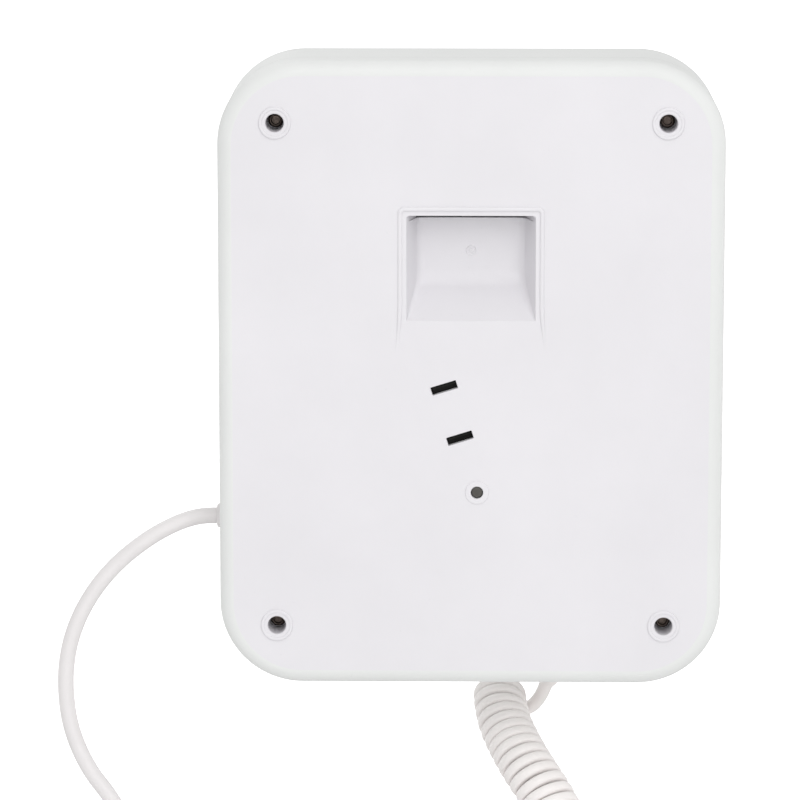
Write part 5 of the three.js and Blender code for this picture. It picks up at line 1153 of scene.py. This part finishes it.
def plug_blocks(half, rear, front, bottom, top):
    """A block at each contact, whose heights count down from the plug's top."""
    return [block(
        "strip", (PLUG_X + x - half, PLUG_Y + rear, PLUG_TOP - bottom),
        (PLUG_X + x + half, PLUG_Y + front, PLUG_TOP - top),
    ) for x in PLUG_CONTACTS]


def plug_loft(name, rings):
    """A loft down the plug, through outlines that lie across it at (drop, points) from its top."""
    return loft(name, [
        [(PLUG_X + x, PLUG_Y + y, PLUG_TOP - drop) for x, y in points] for drop, points in rings
    ])


def plug_body():
    body = plug_loft("line_plug_body", [
        (drop, rounded(11.7 - 2 * i, 6.8 - 2 * i, 0.7, steps=5))
        for drop, i in ((0, 0.4), (0.4, 0), (9, 0), (9.5, 0.35), (21.1, 0.35), (21.5, 0.7))
    ])
    latch = plug_loft("latch", [(drop, rectangle(-w, y0, w, y1)) for drop, w, y0, y1 in (
        (20.5, 2.6, -2.9, -4.8), (18.0, 3.0, -2.9, -6.0), (17.5, 3.0, -4.8, -6.0),
        (10.0, 3.0, -4.8, -6.0), (9.7, 1.9, -4.8, -6.0), (5.5, 1.9, -4.8, -6.0),
    )])
    return smooth(cut(join(body, latch), *plug_blocks(0.3, 1.4, 4, 22, 13)))


plug = dress(plug_body(), plug_look, "base", "clear", "line_plug")
contacts = merge("line_plug_contacts", plug_blocks(0.2, 1.5, 3.1, 20.6, 14))
dress(smooth(contacts), brass_look, "base", "gong_brass")

# ---------------- CAD pieces that stay

KEPT_LOOKS = {
    frame_shade_look: ["ringer_frame"],
    steel_look: ["ringer_clapper", "gong_screw_left", "gong_screw_right", "hook_lever", "hook_pin",
                 "hook_bracket", "hook_spring", "handset_weight"],
    brass_look: ["gong_left", "gong_right"],
    copper_look: ["ringer_coil"],
    key_look: ["ringer_lever"],
    rubber_look: ["keypad_mat"],
    board_look: ["main_board"],
    black_look: ["hook_switch", "receiver_capsule", "microphone_capsule"],
}
for look, names in KEPT_LOOKS.items():
    for name in names:
        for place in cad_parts[name].material_slots:
            place.material = look

# ---------------- floor and light

FLOOR_Z, FLOOR_RADIUS = -0.62, 30
GLOW_NEAR, GLOW_FAR = 0.0, 1.0
WORLD_STRENGTH = 0.71
LIT_POINT = Vector((0, -0.03, 0))
LIGHTS = [  # name, place, size and power
    ("key_light", (-0.4, 2.2, 0.65), 2.0, 17),
    ("upper_light", (-0.3, 1.1, 1.6), 1.2, 6),
    ("left_light", (1.6, -0.5, 0.1), 0.9, 0.6),
    ("right_light", (-1.6, -0.5, 0.1), 0.9, 0.6),
    ("front_light", (0.9, -2.0, 1.4), 1.6, 8),
]

floor_mesh = bpy.data.meshes.new("floor")
edit = bmesh.new()
bmesh.ops.create_circle(edit, cap_ends=True, radius=FLOOR_RADIUS, segments=64)
edit.to_mesh(floor_mesh)
edit.free()
floor = add_object("floor", floor_mesh)
floor.location.z = FLOOR_Z
floor_look = Look("pale_floor")
glow = floor_look.spread(floor_look.axis("Y"), GLOW_FAR, GLOW_NEAR, -1.6, -0.9)
floor_mesh.materials.append(floor_look.finish({
    "Base Color": floor_look.ramp(floor_look.noise(3), [(0.3, (0.86,) * 3), (0.7, (0.88,) * 3)]),
    "Roughness": 0.9,
    "Emission Color": (1, 1, 1, 1),
    "Emission Strength": glow,
}))

world = bpy.data.worlds.new("studio")
world.use_nodes = True
sky = world.node_tree.nodes["Background"]
sky.inputs["Color"].default_value = (1, 1, 1, 1)
sky.inputs["Strength"].default_value = WORLD_STRENGTH
scene.world = world
scene.view_settings.view_transform = "Standard"
scene.view_settings.look = "None"

for name, place, size, power in LIGHTS:
    data = bpy.data.lights.new(name, "AREA")
    data.shape = "SQUARE"
    data.size = size
    data.energy = power
    lamp = add_object(name, data)
    lamp.location = place
    lamp.rotation_euler = (LIT_POINT - Vector(place)).to_track_quat("-Z", "Y").to_euler()
